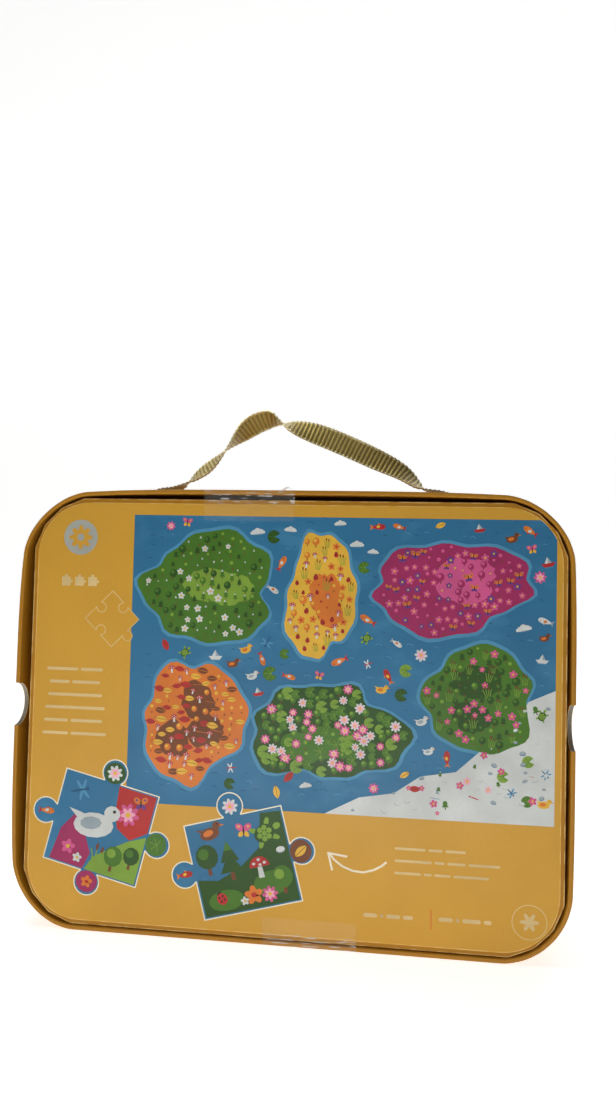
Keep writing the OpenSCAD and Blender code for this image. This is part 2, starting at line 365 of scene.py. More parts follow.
def clouds(tree, where, scale, detail=3, low=0.3, high=0.7):
    """Noise stretched so that low reads 0 and high reads 1."""
    texture = tree.nodes.new("ShaderNodeTexNoise")
    texture.inputs["Scale"].default_value = scale
    texture.inputs["Detail"].default_value = detail
    tree.links.new(where, texture.inputs["Vector"])
    return ramp(tree, texture.outputs["Fac"], low, high)


def cells(tree, where, scale):
    """How far a place is from the nearest of many scattered points."""
    texture = tree.nodes.new("ShaderNodeTexVoronoi")
    texture.inputs["Scale"].default_value = scale
    tree.links.new(where, texture.inputs["Vector"])
    return texture.outputs["Distance"]


def ramp(tree, value, low, high, floor=0.0, ceiling=1.0):
    """Stretches a value so that low reads floor and high reads ceiling."""
    node = tree.nodes.new("ShaderNodeMapRange")
    node.inputs["From Min"].default_value = low
    node.inputs["From Max"].default_value = high
    node.inputs["To Min"].default_value = floor
    node.inputs["To Max"].default_value = ceiling
    tree.links.new(value, node.inputs["Value"])
    return node.outputs["Result"]


def blend_colours(tree, share, a, b):
    """A mix of two colours, each a colour or another node's output."""
    node = tree.nodes.new("ShaderNodeMix")
    node.data_type = "RGBA"
    tree.links.new(share, node.inputs["Factor"])
    for socket, value in (("A", a), ("B", b)):
        place = next(s for s in node.inputs if s.name == socket and s.type == "RGBA")
        if isinstance(value, bpy.types.NodeSocket):
            tree.links.new(value, place)
        else:
            place.default_value = (*value, 1)
    return next(s for s in node.outputs if s.type == "RGBA")


def bump(tree, shader, height, distance, strength=1.0):
    node = tree.nodes.new("ShaderNodeBump")
    node.inputs["Distance"].default_value = distance
    node.inputs["Strength"].default_value = strength
    tree.links.new(height, node.inputs["Height"])
    tree.links.new(node.outputs["Normal"], shader.inputs["Normal"])


def shaded(base, factor):
    return tuple(min(1, c * factor) for c in base)


def paper_material(name, base, rough=0.46, gloss=0.25):
    """Laminated paper: faint blotches, fine fibres and a soft gloss."""
    material, tree, shader = material_of(name)
    where = coordinates(tree)
    tone = blend_colours(tree, clouds(tree, where, 18), shaded(base, 0.93), shaded(base, 1.05))
    fleck = ramp(tree, clouds(tree, where, 2600, 2), 0.55, 1, 0, 0.35)
    tree.links.new(blend_colours(tree, fleck, tone, shaded(base, 0.8)), shader.inputs["Base Color"])
    tree.links.new(ramp(tree, clouds(tree, where, 90), 0, 1, rough - 0.06, rough + 0.07), shader.inputs["Roughness"])
    shader.inputs["Specular IOR Level"].default_value = gloss
    bump(tree, shader, clouds(tree, where, 1300, 4), 0.02 * MM, 0.5)
    return material


def wear_and_highlight_material(name, base, worn):
    """Paper at a fold or a cut edge, lighter than the paper beside it and pale in patches: partly real wear, partly
    painted highlight where the edge would catch the light.
    """
    material, tree, shader = material_of(name)
    where = coordinates(tree)
    # A lighter copy of the paper, pale in patches: partly real wear, partly painted highlight.
    wear_and_highlight_mask = clouds(tree, where, 160, 4, 0.38, 0.58)
    tree.links.new(blend_colours(tree, wear_and_highlight_mask, shaded(base, 1.15), worn), shader.inputs["Base Color"])
    shader.inputs["Roughness"].default_value = 0.5
    bump(tree, shader, clouds(tree, where, 1500, 3), 0.03 * MM, 0.6)
    return material


def board_material(name, base):
    """Greyboard: pressed fibres with dark and light specks."""
    material, tree, shader = material_of(name)
    where = coordinates(tree)
    felt = blend_colours(tree, clouds(tree, where, 700, 5), shaded(base, 0.78), shaded(base, 1.15))
    specks = ramp(tree, cells(tree, where, 1100), 0.12, 0.2, 0.7, 0)
    tree.links.new(blend_colours(tree, specks, felt, shaded(base, 0.45)), shader.inputs["Base Color"])
    shader.inputs["Roughness"].default_value = 0.9
    bump(tree, shader, clouds(tree, where, 1800, 4), 0.08 * MM, 0.8)
    return material


def across_from_middle(tree, where):
    """How far a point of a strip lies from the strip's middle line, from 0 to 0.5."""
    parts = tree.nodes.new("ShaderNodeSeparateXYZ")
    tree.links.new(where, parts.inputs["Vector"])
    offset, size = tree.nodes.new("ShaderNodeMath"), tree.nodes.new("ShaderNodeMath")
    offset.operation, size.operation = "SUBTRACT", "ABSOLUTE"
    offset.inputs[1].default_value = 0.5
    tree.links.new(parts.outputs["Y"], offset.inputs[0])
    tree.links.new(offset.outputs["Value"], size.inputs[0])
    return size.outputs["Value"]


def ribbon_material(ribs):
    """Gold ribbon: threads of uneven tone, painted shade in the hollows between the ribs, specks of painted highlight,
    and beaded painted highlights along both edges.
    """
    finish = look().ribbon
    material, tree, shader = material_of("gold_ribbon")
    plain = coordinates(tree, "UV")
    wave = tree.nodes.new("ShaderNodeTexWave")
    wave.inputs["Scale"].default_value = ribs * math.pi / 10
    tree.links.new(plain, wave.inputs["Vector"])
    # Painted shade: the thread darkens in the hollows between the ribs.
    groove_shade = ramp(tree, wave.outputs["Fac"], 0.35, 0.95, 0, 0.85)
    threads = clouds(tree, coordinates(tree, "UV", (ribs * 9, 30, 1)), 1, 2, 0.35, 0.65)
    fine = clouds(tree, coordinates(tree, "UV", (ribs * 14, 150, 1)), 1, 1)
    tone = blend_colours(tree, threads, shaded(finish.thread, 0.8), shaded(finish.thread, 1.15))
    tone = blend_colours(tree, groove_shade, tone, shaded(finish.thread, 0.3))
    # Painted highlight: specks of the glint colour where the threads would catch the light.
    glints = ramp(tree, fine, 0.62, 0.92, 0, 0.8)
    tone = blend_colours(tree, glints, tone, finish.glint)
    # Painted highlight: beaded specks of the glint colour along both edges of the ribbon.
    painted_bead_highlights = ramp(tree, clouds(tree, coordinates(tree, "UV", (ribs * 3, 6, 1)), 1, 0, 0.42, 0.58), 0, 1, 0.3, 1)
    edge_highlight = tree.nodes.new("ShaderNodeMath")
    edge_highlight.operation = "MULTIPLY"
    tree.links.new(ramp(tree, across_from_middle(tree, plain), 0.4, 0.42), edge_highlight.inputs[0])
    tree.links.new(painted_bead_highlights, edge_highlight.inputs[1])
    tree.links.new(blend_colours(tree, edge_highlight.outputs["Value"], tone, finish.glint), shader.inputs["Base Color"])
    shader.inputs["Metallic"].default_value = 0.55
    tree.links.new(ramp(tree, fine, 0, 1, 0.28, 0.44), shader.inputs["Roughness"])
    bump(tree, shader, fine, 0.06 * MM, 0.8)
    return material


def tape_material(name, alpha):
    """Clear film: hardly any colour and a sharp gloss. Made less clear, the same film is the whitish painted highlight
    along the creases.
    """
    material, tree, shader = material_of(name)
    shader.inputs["Base Color"].default_value = (0.93, 0.92, 0.86, 1)
    shader.inputs["Alpha"].default_value = alpha
    shader.inputs["Specular IOR Level"].default_value = 0.7
    where = coordinates(tree, scale=(1, 3, 3))
    tree.links.new(ramp(tree, clouds(tree, where, 240, 2), 0, 1, 0.08, 0.22), shader.inputs["Roughness"])
    bump(tree, shader, clouds(tree, where, 420, 3), 0.06 * MM, 0.5)
    return material


def puzzle_print_material():
    """Printed face of the loose pieces: patches of the pond picture under a fine linen press."""
    inks = look().inks
    material, tree, shader = material_of("puzzle_print")
    where = coordinates(tree, scale=(1, 60, 1))
    water = blend_colours(tree, clouds(tree, where, 26), inks.water, inks.shallow)
    leaves = ramp(tree, clouds(tree, where, 19, 5), 0.56, 0.62)
    green = blend_colours(tree, clouds(tree, where, 130), inks.leaf_dark, inks.leaf_light)
    ground = blend_colours(tree, leaves, water, green)
    pads = ramp(tree, cells(tree, where, 75), 0.28, 0.3, 1, 0)
    spots = blend_colours(tree, clouds(tree, where, 31), inks.orange, inks.pink)
    patched = blend_colours(tree, ramp(tree, clouds(tree, where, 17), 0.62, 0.66), ground, spots)
    petal = blend_colours(tree, clouds(tree, where, 41), inks.white, inks.yellow)
    tree.links.new(blend_colours(tree, pads, patched, petal), shader.inputs["Base Color"])
    shader.inputs["Roughness"].default_value = 0.38
    bump(tree, shader, clouds(tree, coordinates(tree), 1500, 1), 0.05 * MM, 0.6)
    return material


INKS_MADE = {}


def printed_gloss(tree, shader, where):
    """The soft, uneven gloss of ink on laminated paper."""
    tree.links.new(ramp(tree, clouds(tree, where, 90), 0, 1, 0.36, 0.48), shader.inputs["Roughness"])
    shader.inputs["Specular IOR Level"].default_value = 0.3


def ink(name):
    """Printed colour, a little uneven as ink on paper is. Each ink is made once."""
    if name not in INKS_MADE:
        base = getattr(look().inks, name)
        material, tree, shader = material_of("ink_" + name)
        where = coordinates(tree)
        uneven = blend_colours(tree, clouds(tree, where, 60), shaded(base, 0.88), shaded(base, 1.08))
        dots = ramp(tree, clouds(tree, where, 2400, 1), 0.4, 1, 0, 0.3)
        tree.links.new(blend_colours(tree, dots, uneven, shaded(base, 0.82)), shader.inputs["Base Color"])
        printed_gloss(tree, shader, where)
        INKS_MADE[name] = material
    return INKS_MADE[name]


def water_ink():
    """The pond's water: light and dark patches drawn out sideways."""
    inks = look().inks
    material, tree, shader = material_of("ink_pond_water")
    where = coordinates(tree, scale=(1, 1, 1.7))
    patches = blend_colours(tree, clouds(tree, where, 14, 3, 0.35, 0.65), inks.water, shaded(inks.water, 1.16))
    drifts = ramp(tree, clouds(tree, where, 38, 4), 0.6, 0.9, 0, 0.3)
    tree.links.new(blend_colours(tree, drifts, patches, inks.shallow), shader.inputs["Base Color"])
    printed_gloss(tree, shader, where)
    return material


# Lid and tray

def creased_outline(low, high, radius, creases, inset):
    """Outline in X and Z of a wall whose four corners are bent along creases."""
    middle = (low + high) / 2
    reach_x, reach_z = (high.x - low.x) / 2 - radius, (high.z - low.z) / 2 - radius
    turn = math.pi / 2 / creases
    spoke = (radius - inset) / math.cos(turn / 2)
    points = []
    for corner in range(4):
        side_x = 1 if corner in (0, 3) else -1
        side_z = 1 if corner < 2 else -1
        for crease in range(creases):
            angle = corner * math.pi / 2 + (crease + 0.5) * turn
            x = middle.x + side_x * reach_x + spoke * math.cos(angle)
            z = middle.z + side_z * reach_z + spoke * math.sin(angle)
            points.append((x, z))
    return points


def softened(outline, reach, steps=3):
    """The same outline with every corner rounded off over a reach along both of its sides."""
    points = []
    for i, here in enumerate(outline):
        corner = Vector(here)
        before, after = Vector(outline[i - 1]), Vector(outline[(i + 1) % len(outline)])
        start = corner + (before - corner).normalized() * reach
        end = corner + (after - corner).normalized() * reach
        for k in range(steps + 1):
            t = k / steps
            points.append(tuple(start * (1 - t) ** 2 + corner * 2 * t * (1 - t) + end * t * t))
    return points


def lid_outline(inset):
    finish = look().box
    bends = creased_outline(LID_LOW, LID_HIGH, finish.lid_corner_r, finish.lid_creases, inset)
    return softened(bends, finish.lid_softness)


def tray_outline(inset):
    finish = look().box
    bends = creased_outline(TRAY_LOW, TRAY_HIGH, finish.tray_corner_r, finish.tray_creases, inset)
    return softened(bends, finish.tray_softness)


def lies_at(y, least_turn=0.8):
    """A test for edges in a plane across Y where two faces meet at a real corner."""
    def test(edge):
        flat = all(abs(vertex.co.y - y) < TINY for vertex in edge.verts)
        return flat and len(edge.link_faces) == 2 and edge.calc_face_angle() > least_turn
    return test


def cut_across(obj, axis, places):
    """Cuts a mesh across with planes, so that it can bend there."""
    for place in places:
        take(obj)
        bpy.ops.object.mode_set(mode="EDIT")
        bpy.ops.mesh.select_all(action="SELECT")
        point, normal = Vector(), Vector()
        point[axis], normal[axis] = place, 1
        bpy.ops.mesh.bisect(plane_co=point, plane_no=normal)
        leave()


def roll_over(radius, steps, outwards):
    """Takes the selected end face round an edge: off an outer wall, or on to an inner one."""
    for k in range(steps):
        a, b = math.pi / 2 * k / steps, math.pi / 2 * (k + 1) / steps
        over, along = radius * (math.cos(a) - math.cos(b)), radius * (math.sin(b) - math.sin(a))
        if outwards:
            bpy.ops.mesh.inset(thickness=over, depth=along)
        else:
            bpy.ops.mesh.inset(thickness=along, depth=-over)


def folded_cover(name, outline, edge_y, panel_y, turn_y):
    """One sheet of paper: round the wall, over its free edge and in, and over on to the panel, pale at the fold with
    partly real wear and partly painted highlight.
    """
    finish = look().box
    inward = 1 if panel_y > edge_y else -1
    rim, fold = finish.rim_round, finish.fold_round
    cover = prism(name, outline, edge_y + inward * rim, panel_y - inward * fold)
    paint(cover, FINISH["cover"], FINISH["worn"])
    pick(cover, "FACE", lambda face: face.normal.y * inward < -0.9)
    roll_over(rim, 3, True)
    bpy.ops.mesh.inset(thickness=WALL - 2 * rim)
    roll_over(rim, 3, False)
    bpy.ops.mesh.extrude_region_move(TRANSFORM_OT_translate={"value": (0, turn_y - edge_y - inward * rim, 0)})
    bpy.ops.mesh.delete(type="FACE")
    leave()
    pick(cover, "FACE", lambda face: face.normal.y * inward > 0.9 and len(face.verts) > 8)
    # The fold takes the pale paper: partly real wear, partly painted highlight.
    give_slot(cover, 1)
    roll_over(fold, 3, True)
    give_slot(cover, 0)
    lip = 4 * fold
    bpy.ops.mesh.inset(thickness=lip)
    xs, zs = [x for x, _ in outline], [z for _, z in outline]
    middle = ((min(xs) + max(xs)) / 2, panel_y, (min(zs) + max(zs)) / 2)
    inner, outer = 2 * finish.panel_turn_in, 2 * (fold + lip)
    shares = [(max(v) - min(v) - inner) / (max(v) - min(v) - outer) for v in (xs, zs)]
    bpy.ops.mesh.extrude_region_move()
    bpy.ops.transform.resize(value=(shares[0], 1, shares[1]), center_override=middle)
    bpy.ops.mesh.delete(type="FACE")
    leave()
    return cover


# How far the lid's corners would be drawn in along X and Z at the free edge if they were square. A key says whether
# the corner is on the right, and whether it is an upper one
CORNER_PULLS = {
    (False, True): (6.8 * MM, 5.2 * MM), (True, True): (3.6 * MM, 3.8 * MM),
    (False, False): (6.4 * MM, 0), (True, False): (2.4 * MM, 0),
}
SLIT_X = 82.5 * MM
SLIT_WIDTH = 1.2 * MM
SLIT_SLACK = 0.6 * MM
# Where the lid's walls are cut across, so that they can bend
WALL_CUTS_X = [LID_HIGH.x * k / 8 for k in range(-6, 7)]
WALL_CUTS_Y = [LID_LOW.y + (LID_HIGH.y - LID_LOW.y) * k / 6 for k in range(1, 6)]
WALL_CUTS_Z = [LID_LOW.z + (LID_HIGH.z - LID_LOW.z) * k / 16 for k in range(3, 14)]


def draw_in_corners(obj):
    """Draws the lid's corners in towards the tray at the free edge, so that the walls bow out between them."""
    half_w, half_h = LID_HIGH.x, (LID_HIGH.z - LID_LOW.z) / 2
    middle, depth = (LID_LOW.z + LID_HIGH.z) / 2, LID_HIGH.y - LID_LOW.y
    for vertex in obj.data.vertices:
        x, z = vertex.co.x / half_w, (vertex.co.z - middle) / half_h
        pull_x, pull_z = CORNER_PULLS[x > 0, z > 0]
        share = (x * z) ** 4 * max(0, (LID_HIGH.y - vertex.co.y) / depth) ** 2
        vertex.co.x -= math.copysign(pull_x * share, x)
        vertex.co.z -= math.copysign(pull_z * share, z)


def lid_cutters():
    """A bar for the two thumb notches and two blades for the ribbon's slits."""
    finish, ribbon = look().box, look().ribbon
    clear_selection()
    bpy.ops.mesh.primitive_cylinder_add(
        vertices=72, radius=finish.notch_r, depth=2 * LID_HIGH.x + 20 * MM,
        location=(0, LID_LOW.y, (LID_LOW.z + LID_HIGH.z) / 2), rotation=(0, math.pi / 2, 0)
    )
    bpy.ops.object.transform_apply()
    cutters = [made("notch_bar")]
    for side in (-1, 1):
        clear_selection()
        bpy.ops.mesh.primitive_cube_add(size=1, location=(side * SLIT_X, 0, LID_TOP))
        blade = made("slit_blade")
        blade.scale = (SLIT_WIDTH, ribbon.width + SLIT_SLACK, 4 * WALL)
        bpy.ops.object.transform_apply()
        cutters.append(blade)
    return cutters


def cut_lid(piece, cutters, material):
    """Cuts the notches and slits, with cut faces of their own material."""
    for cutter in cutters:
        paint(cutter, material)
        modify(piece, "BOOLEAN", operation="DIFFERENCE", object=cutter, solver="EXACT", material_mode="TRANSFER")


def build_lid():
    """Covering paper, board, lining and front label of the lid."""
    cover = folded_cover("lid_cover_paper", lid_outline(0), LID_LOW.y, LID_HIGH.y - PRESSED, LINING_LOW.y)
    band = prism("lid_board_band", lid_outline(PAPER), BOARD_LOW.y, BOARD_HIGH.y)
    lining = prism("lid_wall_paper", lid_outline(CORE), LINING_LOW.y, LINING_HIGH.y)
    for wall in (band, lining):
        pick(wall, "FACE", lambda face: abs(face.normal.y) > 0.9)
        bpy.ops.mesh.delete(type="FACE")
        leave()
    paint(band, FINISH["board"])
    paint(lining, FINISH["lining"])
    cutters = lid_cutters()
    # Cut faces of the papers are pale: partly the paper's core, partly painted highlight.
    edges = {cover: FINISH["paper_edge"], band: FINISH["board"], lining: FINISH["paper_edge"]}
    for wall, thickness in ((cover, PAPER), (band, CORE - PAPER), (lining, PAPER)):
        cut_across(wall, 0, WALL_CUTS_X)
        cut_across(wall, 2, WALL_CUTS_Z)
        cut_across(wall, 1, WALL_CUTS_Y)
        modify(wall, "SOLIDIFY", thickness=thickness, offset=-1, use_even_offset=True)
        cut_lid(wall, cutters, edges[wall])
        draw_in_corners(wall)
        shade(wall, 28)
    for cutter in cutters:
        remove(cutter)
    seat(cover, "lid", "cover_paper", "lid_wall_wrap")
    seat(band, "lid", "greyboard", "lid_wall_board")
    seat(lining, "lid", "lining_paper", "lid_wall_lining")
    sheet = label_sheet("front_label", FRONT_LOW, FRONT_HIGH, FRONT_HIGH.y - PRINT_ROOM, 1)
    seat(sheet, "lid", "label_paper", "lid_front_label")
    paint(frame["nodes"]["lid_panel_board"], FINISH["board"])
    paint(frame["nodes"]["lid_panel_lining"], FINISH["lining"])


def build_tray():
    """Covering paper and back label of the tray, with its boards and linings as the frame has them."""
    cover = folded_cover("tray_cover_paper", tray_outline(0), TRAY_HIGH.y, TRAY_LOW.y, TRAY_LINING_HIGH.y)
    modify(cover, "SOLIDIFY", thickness=PAPER, offset=-1, use_even_offset=True)
    shade(cover, 16)
    seat(cover, "tray", "cover_paper", "tray_wall_wrap")
    sheet = label_sheet("back_label", BACK_LOW, BACK_HIGH, BACK_LOW.y, -1)
    seat(sheet, "tray", "label_paper", "tray_back_label")
    for name in ("tray_panel_board", "tray_wall_board"):
        paint(frame["nodes"][name], FINISH["board"])
    for name in ("tray_floor_lining", "tray_wall_lining"):
        paint(frame["nodes"][name], FINISH["lining"])


def label_sheet(name, low, high, face_y, facing):
    """A printed sheet with round corners, facing -Y or +Y. Its cut edge and a thin band along it are pale: partly the
    paper's white core, partly painted highlight.
    """
    finish = look().box
    clear_selection()
    middle = ((low.x + high.x) / 2, face_y, (low.z + high.z) / 2)
    bpy.ops.mesh.primitive_plane_add(size=1, location=middle, rotation=(-facing * math.pi / 2, 0, 0))
    sheet = made(name)
    sheet.scale = (high.x - low.x, high.z - low.z, 1)
    bpy.ops.object.transform_apply()
    paint(sheet, FINISH["label"], FINISH["paper_edge"])
    bpy.ops.object.mode_set(mode="EDIT")
    bpy.ops.mesh.select_all(action="SELECT")
    bpy.ops.mesh.bevel(offset=finish.label_corner_r, segments=18, affect="VERTICES")
    bpy.ops.mesh.select_mode(type="FACE")
    bpy.ops.mesh.select_all(action="SELECT")
    bpy.ops.mesh.extrude_region_move(TRANSFORM_OT_translate={"value": (0, -facing * PAPER, 0)})
    leave()
    face_out(sheet)
    # The cut sides are pale: partly the paper's white core, partly painted highlight.
    pick(sheet, "FACE", lambda face: face.normal.y * facing < 0.9)
    give_slot(sheet, 1)
    leave()
    pick(sheet, "FACE", lambda face: face.normal.y * facing > 0.9)
    give_slot(sheet, 1)
    # A thin pale band along the edge of the face: partly the paper's white core, partly painted highlight.
    bpy.ops.mesh.inset(thickness=finish.label_edge)
    give_slot(sheet, 0)
    leave()
    rim = [v for v in sheet.data.vertices if abs(v.co.y - face_y) < TINY]
    inner = {i for p in sheet.data.polygons if p.material_index == 0 for i in p.vertices}
    for vertex in rim:
        if vertex.index not in inner:
            vertex.co.y -= facing * PAPER / 2
    return sheet


# Print

def oval(x, y, rx, ry, turn=0, corners=10):
    """An oval outline in millimetres; turn is in degrees."""
    c, s = math.cos(math.radians(turn)), math.sin(math.radians(turn))
    points = []
    for k in range(corners):
        a = 2 * math.pi * k / corners
        u, v = rx * math.cos(a), ry * math.sin(a)
        points.append((x + c * u - s * v, y + s * u + c * v))
    return points


def wavy(x, y, rx, ry, seed, corners=56, wave=0.17):
    """A wandering closed outline, such as the shore of an island."""
    dice = random.Random(seed)
    waves = [(k, wave / k ** 0.6 * dice.uniform(0.5, 1), dice.uniform(0, 6.3)) for k in (2, 3, 5, 7, 11)]
    points = []
    for i in range(corners):
        a = 2 * math.pi * i / corners
        r = 1 + sum(size * math.cos(k * a + shift) for k, size, shift in waves)
        points.append((x + rx * r * math.cos(a), y + ry * r * math.sin(a)))
    return points


def arc(x, y, r, start, end, steps):
    """Points along a part of a circle, with angles in degrees."""
    angles = [math.radians(start + (end - start) * k / steps) for k in range(steps + 1)]
    return [(x + r * math.cos(a), y + r * math.sin(a)) for a in angles]


def stroke(points, width):
    """Outline of a line of even width."""
    left, right = [], []
    for i, here in enumerate(points):
        before, after = Vector(points[max(i - 1, 0)]), Vector(points[min(i + 1, len(points) - 1)])
        along = (after - before).normalized()
        side = Vector((-along.y, along.x)) * width / 2
        left.append(tuple(Vector(here) + side))
        right.append(tuple(Vector(here) - side))
    return left + right[::-1]


def piece_outline(w, h, knobs, reach, radius, neck, corners=8, grow=0):
    """Outline of a jigsaw piece. Each side's knob, from the right, stands out (1), goes in (-1) or is missing (0)."""
    points = []
    for side, knob in enumerate(knobs):
        out, half = (w / 2, h / 2) if side % 2 == 0 else (h / 2, w / 2)
        out, half, r = out + grow, half + grow, radius + knob * grow
        line = [(out, -half)]
        if knob:
            middle = reach - r
            throat = max(neck + knob * grow, 1.01 * math.sqrt(max(r ** 2 - middle ** 2, 0)))
            spread = math.asin(throat / r)
            line.append((out, -throat))
            for k in range(corners + 1):
                a = spread + (2 * math.pi - 2 * spread) * k / corners
                line.append((out + knob * (middle - r * math.cos(a)), -r * math.sin(a)))
            line.append((out, throat))
        c, s = [(1, 0), (0, 1), (-1, 0), (0, -1)][side]
        points += [(c * u - s * v, s * u + c * v) for u, v in line]
    return points


def ink_shape(outline, name, level):
    """One printed shape, in millimetres: a slab of ink whose face lies at its level. The ink may be a material."""
    metres = [(x * MM, y * MM) for x, y in outline]
    shape = prism("ink_shape", metres, INK_ROOT, -level * INK)
    paint(shape, ink(name) if isinstance(name, str) else name)
    return shape


def petals(count, reach, width, name, level, start=0):
    """Petals round the origin, every other one a little higher so that no two faces meet."""
    found = []
    for k in range(count):
        turn = start + 360 * k / count
        x, y = reach / 2 * math.cos(math.radians(turn)), reach / 2 * math.sin(math.radians(turn))
        found.append((oval(x, y, reach / 2, width, turn, 8), name, level + 0.4 * (k % 2)))
    return found


def lily_pad(face, vein):
    pad = arc(0, 0, 5, 25, 335, 16) + [(0.6, 0)]
    tips = [(4.1 * math.cos(a), 4.1 * math.sin(a)) for a in (1, 2, 3, 4.1, 5.2)]
    return [(pad, face, 1)] + [(stroke([(0.8, 0), tip], 0.3), vein, 2) for tip in tips]


def water_lily(outer, inner):
    heart = [(oval(0, 0, 1, 1), "yellow", 3)]
    return petals(8, 4.6, 1.1, outer, 1) + petals(6, 3, 0.8, inner, 2, 20) + heart


def pond_fish(body, patch, fin):
    angles = [k * math.pi / 8 for k in range(16)]
    shape = [(5 * math.cos(a), 2.1 * math.sin(a) * (1 + 0.3 * math.cos(a))) for a in angles]
    return [
        ([(-3.8, 0), (-7, 2.4), (-6.2, 0), (-7, -2.4)], fin, 1),
        ([(-0.5, 1.6), (1.6, 1.8), (-0.6, 3.3)], fin, 1),
        (shape, body, 2),
        (oval(-0.6, 0.3, 1.5, 1.1, 20, 8), patch, 3),
        (oval(3.2, 0.7, 0.42, 0.42, 0, 6), "dark", 3),
    ]


def pond_duck(feathers, wing):
    return [
        (oval(0, 0, 4.2, 2.5, 8, 14), feathers, 1),
        ([(-3.4, 0.6), (-5.6, 2.4), (-2.4, 1.9)], feathers, 0.7),
        (oval(3.4, 3, 1.7, 1.6, 0, 10), feathers, 2),
        ([(4.8, 3.3), (6.8, 2.6), (4.8, 2.2)], "orange", 1),
        (oval(-0.6, 0.3, 2.3, 1.3, 12, 9), wing, 2),
        (oval(3.8, 3.5, 0.36, 0.36, 0, 6), "dark", 3),
    ]


def paper_boat(side, sail):
    return [
        ([(-5, 0), (5, 0), (3, -2.6), (-3, -2.6)], side, 2),
        ([(-2.6, 0), (0, 4.4), (2.6, 0)], sail, 1),
        ([(0, 0), (0, 4.4), (2.6, 0)], "grey", 2),
        (stroke([(-3, -3.1), (3, -3.1)], 0.4), "shallow", 1),
    ]


def turtle(shell, skin):
    feet = ((2.4, 2.6, 45), (2.4, -2.6, -45), (-2.6, 2.3, 135), (-2.6, -2.3, -135))
    spots = ((0, 0), (1.7, 0), (-1.7, 0), (0.8, 1.5), (-0.8, 1.5), (0.8, -1.5), (-0.8, -1.5))
    limbs = [(oval(x, y, 1.5, 0.8, t, 7), skin, 1) for x, y, t in feet]
    plates = [(oval(x, y, 0.9, 0.9, 0, 6), "leaf_light", 3) for x, y in spots]
    return limbs + [(oval(4.4, 0, 1.3, 1, 0, 8), skin, 1), (oval(0, 0, 3.4, 2.7, 0, 12), shell, 2)] + plates


def dragonfly(body, wing):
    places = ((1.9, 1.9, 60), (1.9, -1.9, -60), (-0.2, 2, 110), (-0.2, -2, -110))
    wings = [(oval(x, y, 2.5, 0.65, t, 8), wing, 1 + 0.2 * k) for k, (x, y, t) in enumerate(places)]
    return wings + [(oval(-0.8, 0, 4, 0.45, 0, 10), body, 2), (oval(3, 0, 0.8, 0.7, 0, 7), body, 3)]


def butterfly(wing, spot):
    wings = [(oval(1.8, 1.7, 2.2, 1.5, 40, 9), wing, 1), (oval(-1.8, 1.7, 2.2, 1.5, 140, 9), wing, 1.2)]
    tips = [(oval(1.3, -1.3, 1.5, 1.1, -45, 8), spot, 0.6), (oval(-1.3, -1.3, 1.5, 1.1, 225, 8), spot, 0.8)]
    dots = [(oval(2.2, 2.1, 0.6, 0.6, 0, 6), spot, 2), (oval(-2.2, 2.1, 0.6, 0.6, 0, 6), spot, 2)]
    return wings + tips + dots + [(oval(0, 0.2, 0.4, 2.2, 0, 8), "dark", 3)]


def fallen_leaf(face, vein):
    angles = [k * math.pi / 7 for k in range(14)]
    blade = [(4.6 * math.cos(a), 2 * math.sin(a) * (1 - 0.25 * math.cos(2 * a))) for a in angles]
    return [(blade, face, 1), (stroke([(-6, 0), (3.8, 0)], 0.35), vein, 2)]


def round_tree(crown, light):
    return [
        ([(-0.5, -3.6), (0.5, -3.6), (0.4, 0), (-0.4, 0)], "brown", 1),
        (oval(0, 1.2, 3, 3.2, 0, 12), crown, 2),
        (oval(-0.8, 2, 1.5, 1.5, 0, 8), light, 3),
    ]


def pine_tree(face, tip):
    return [
        ([(-0.4, -3.8), (0.4, -3.8), (0.4, -2), (-0.4, -2)], "brown", 1),
        ([(-2.5, -2.2), (2.5, -2.2), (0, 1.8)], face, 2),
        ([(-2, 0), (2, 0), (0, 4.2)], face, 3),
        ([(-0.9, 2.3), (0.9, 2.3), (0, 4.2)], tip, 4),
    ]


def stone(face, shade_ink):
    return [(oval(0, -0.35, 2.3, 1.5, 0, 9), shade_ink, 1), (oval(0, 0, 2.2, 1.4, 0, 9), face, 2)]


def foam(face, under):
    bubbles = ((-2.6, 0, 1.7), (0, 0.7, 2.3), (2.7, 0.1, 1.8), (4.4, -0.5, 1.1), (-4.2, -0.5, 1.1))
    low = [(oval(0, -1, 4.8, 1, 0, 12), under, 1)]
    return low + [(oval(x, y, r, r, 0, 9), face, 2 + 0.2 * k) for k, (x, y, r) in enumerate(bubbles)]


def reeds(blade, head):
    stems = []
    for k, (x, top) in enumerate(((-1.5, 3), (-0.4, 5), (0.7, 4), (1.7, 2.4))):
        stems.append((stroke([(x, -4), (x * 1.5, 1), (x * 2.2, top)], 0.5), blade, 1 + 0.2 * k))
    return stems + [(oval(-0.9, 4.4, 0.6, 1.6, 0, 8), head, 2), (oval(1.5, 3.6, 0.6, 1.4, -8, 8), head, 2)]


def toadstool(cap, spot):
    stem = [(-0.8, -2.6), (0.8, -2.6), (0.6, 0.8), (-0.6, 0.8)]
    dots = [(oval(x, y, 0.5, 0.4, 0, 6), spot, 3) for x, y in ((-1.5, 1.4), (0, 2.3), (1.5, 1.3), (0.2, 0.9))]
    return [(stem, "white", 1), (arc(0, 0.4, 2.8, 0, 180, 9), cap, 2)] + dots


def ladybird(back, spot):
    places = ((-0.7, 0.8), (0.7, 0.8), (-0.7, -0.6), (0.7, -0.6))
    dots = [(oval(x, y, 0.42, 0.42, 0, 6), spot, 3) for x, y in places]
    return [(oval(0, 1.9, 1, 0.8, 0, 8), "dark", 1), (oval(0, 0, 1.9, 2.1, 0, 11), back, 2)] + dots


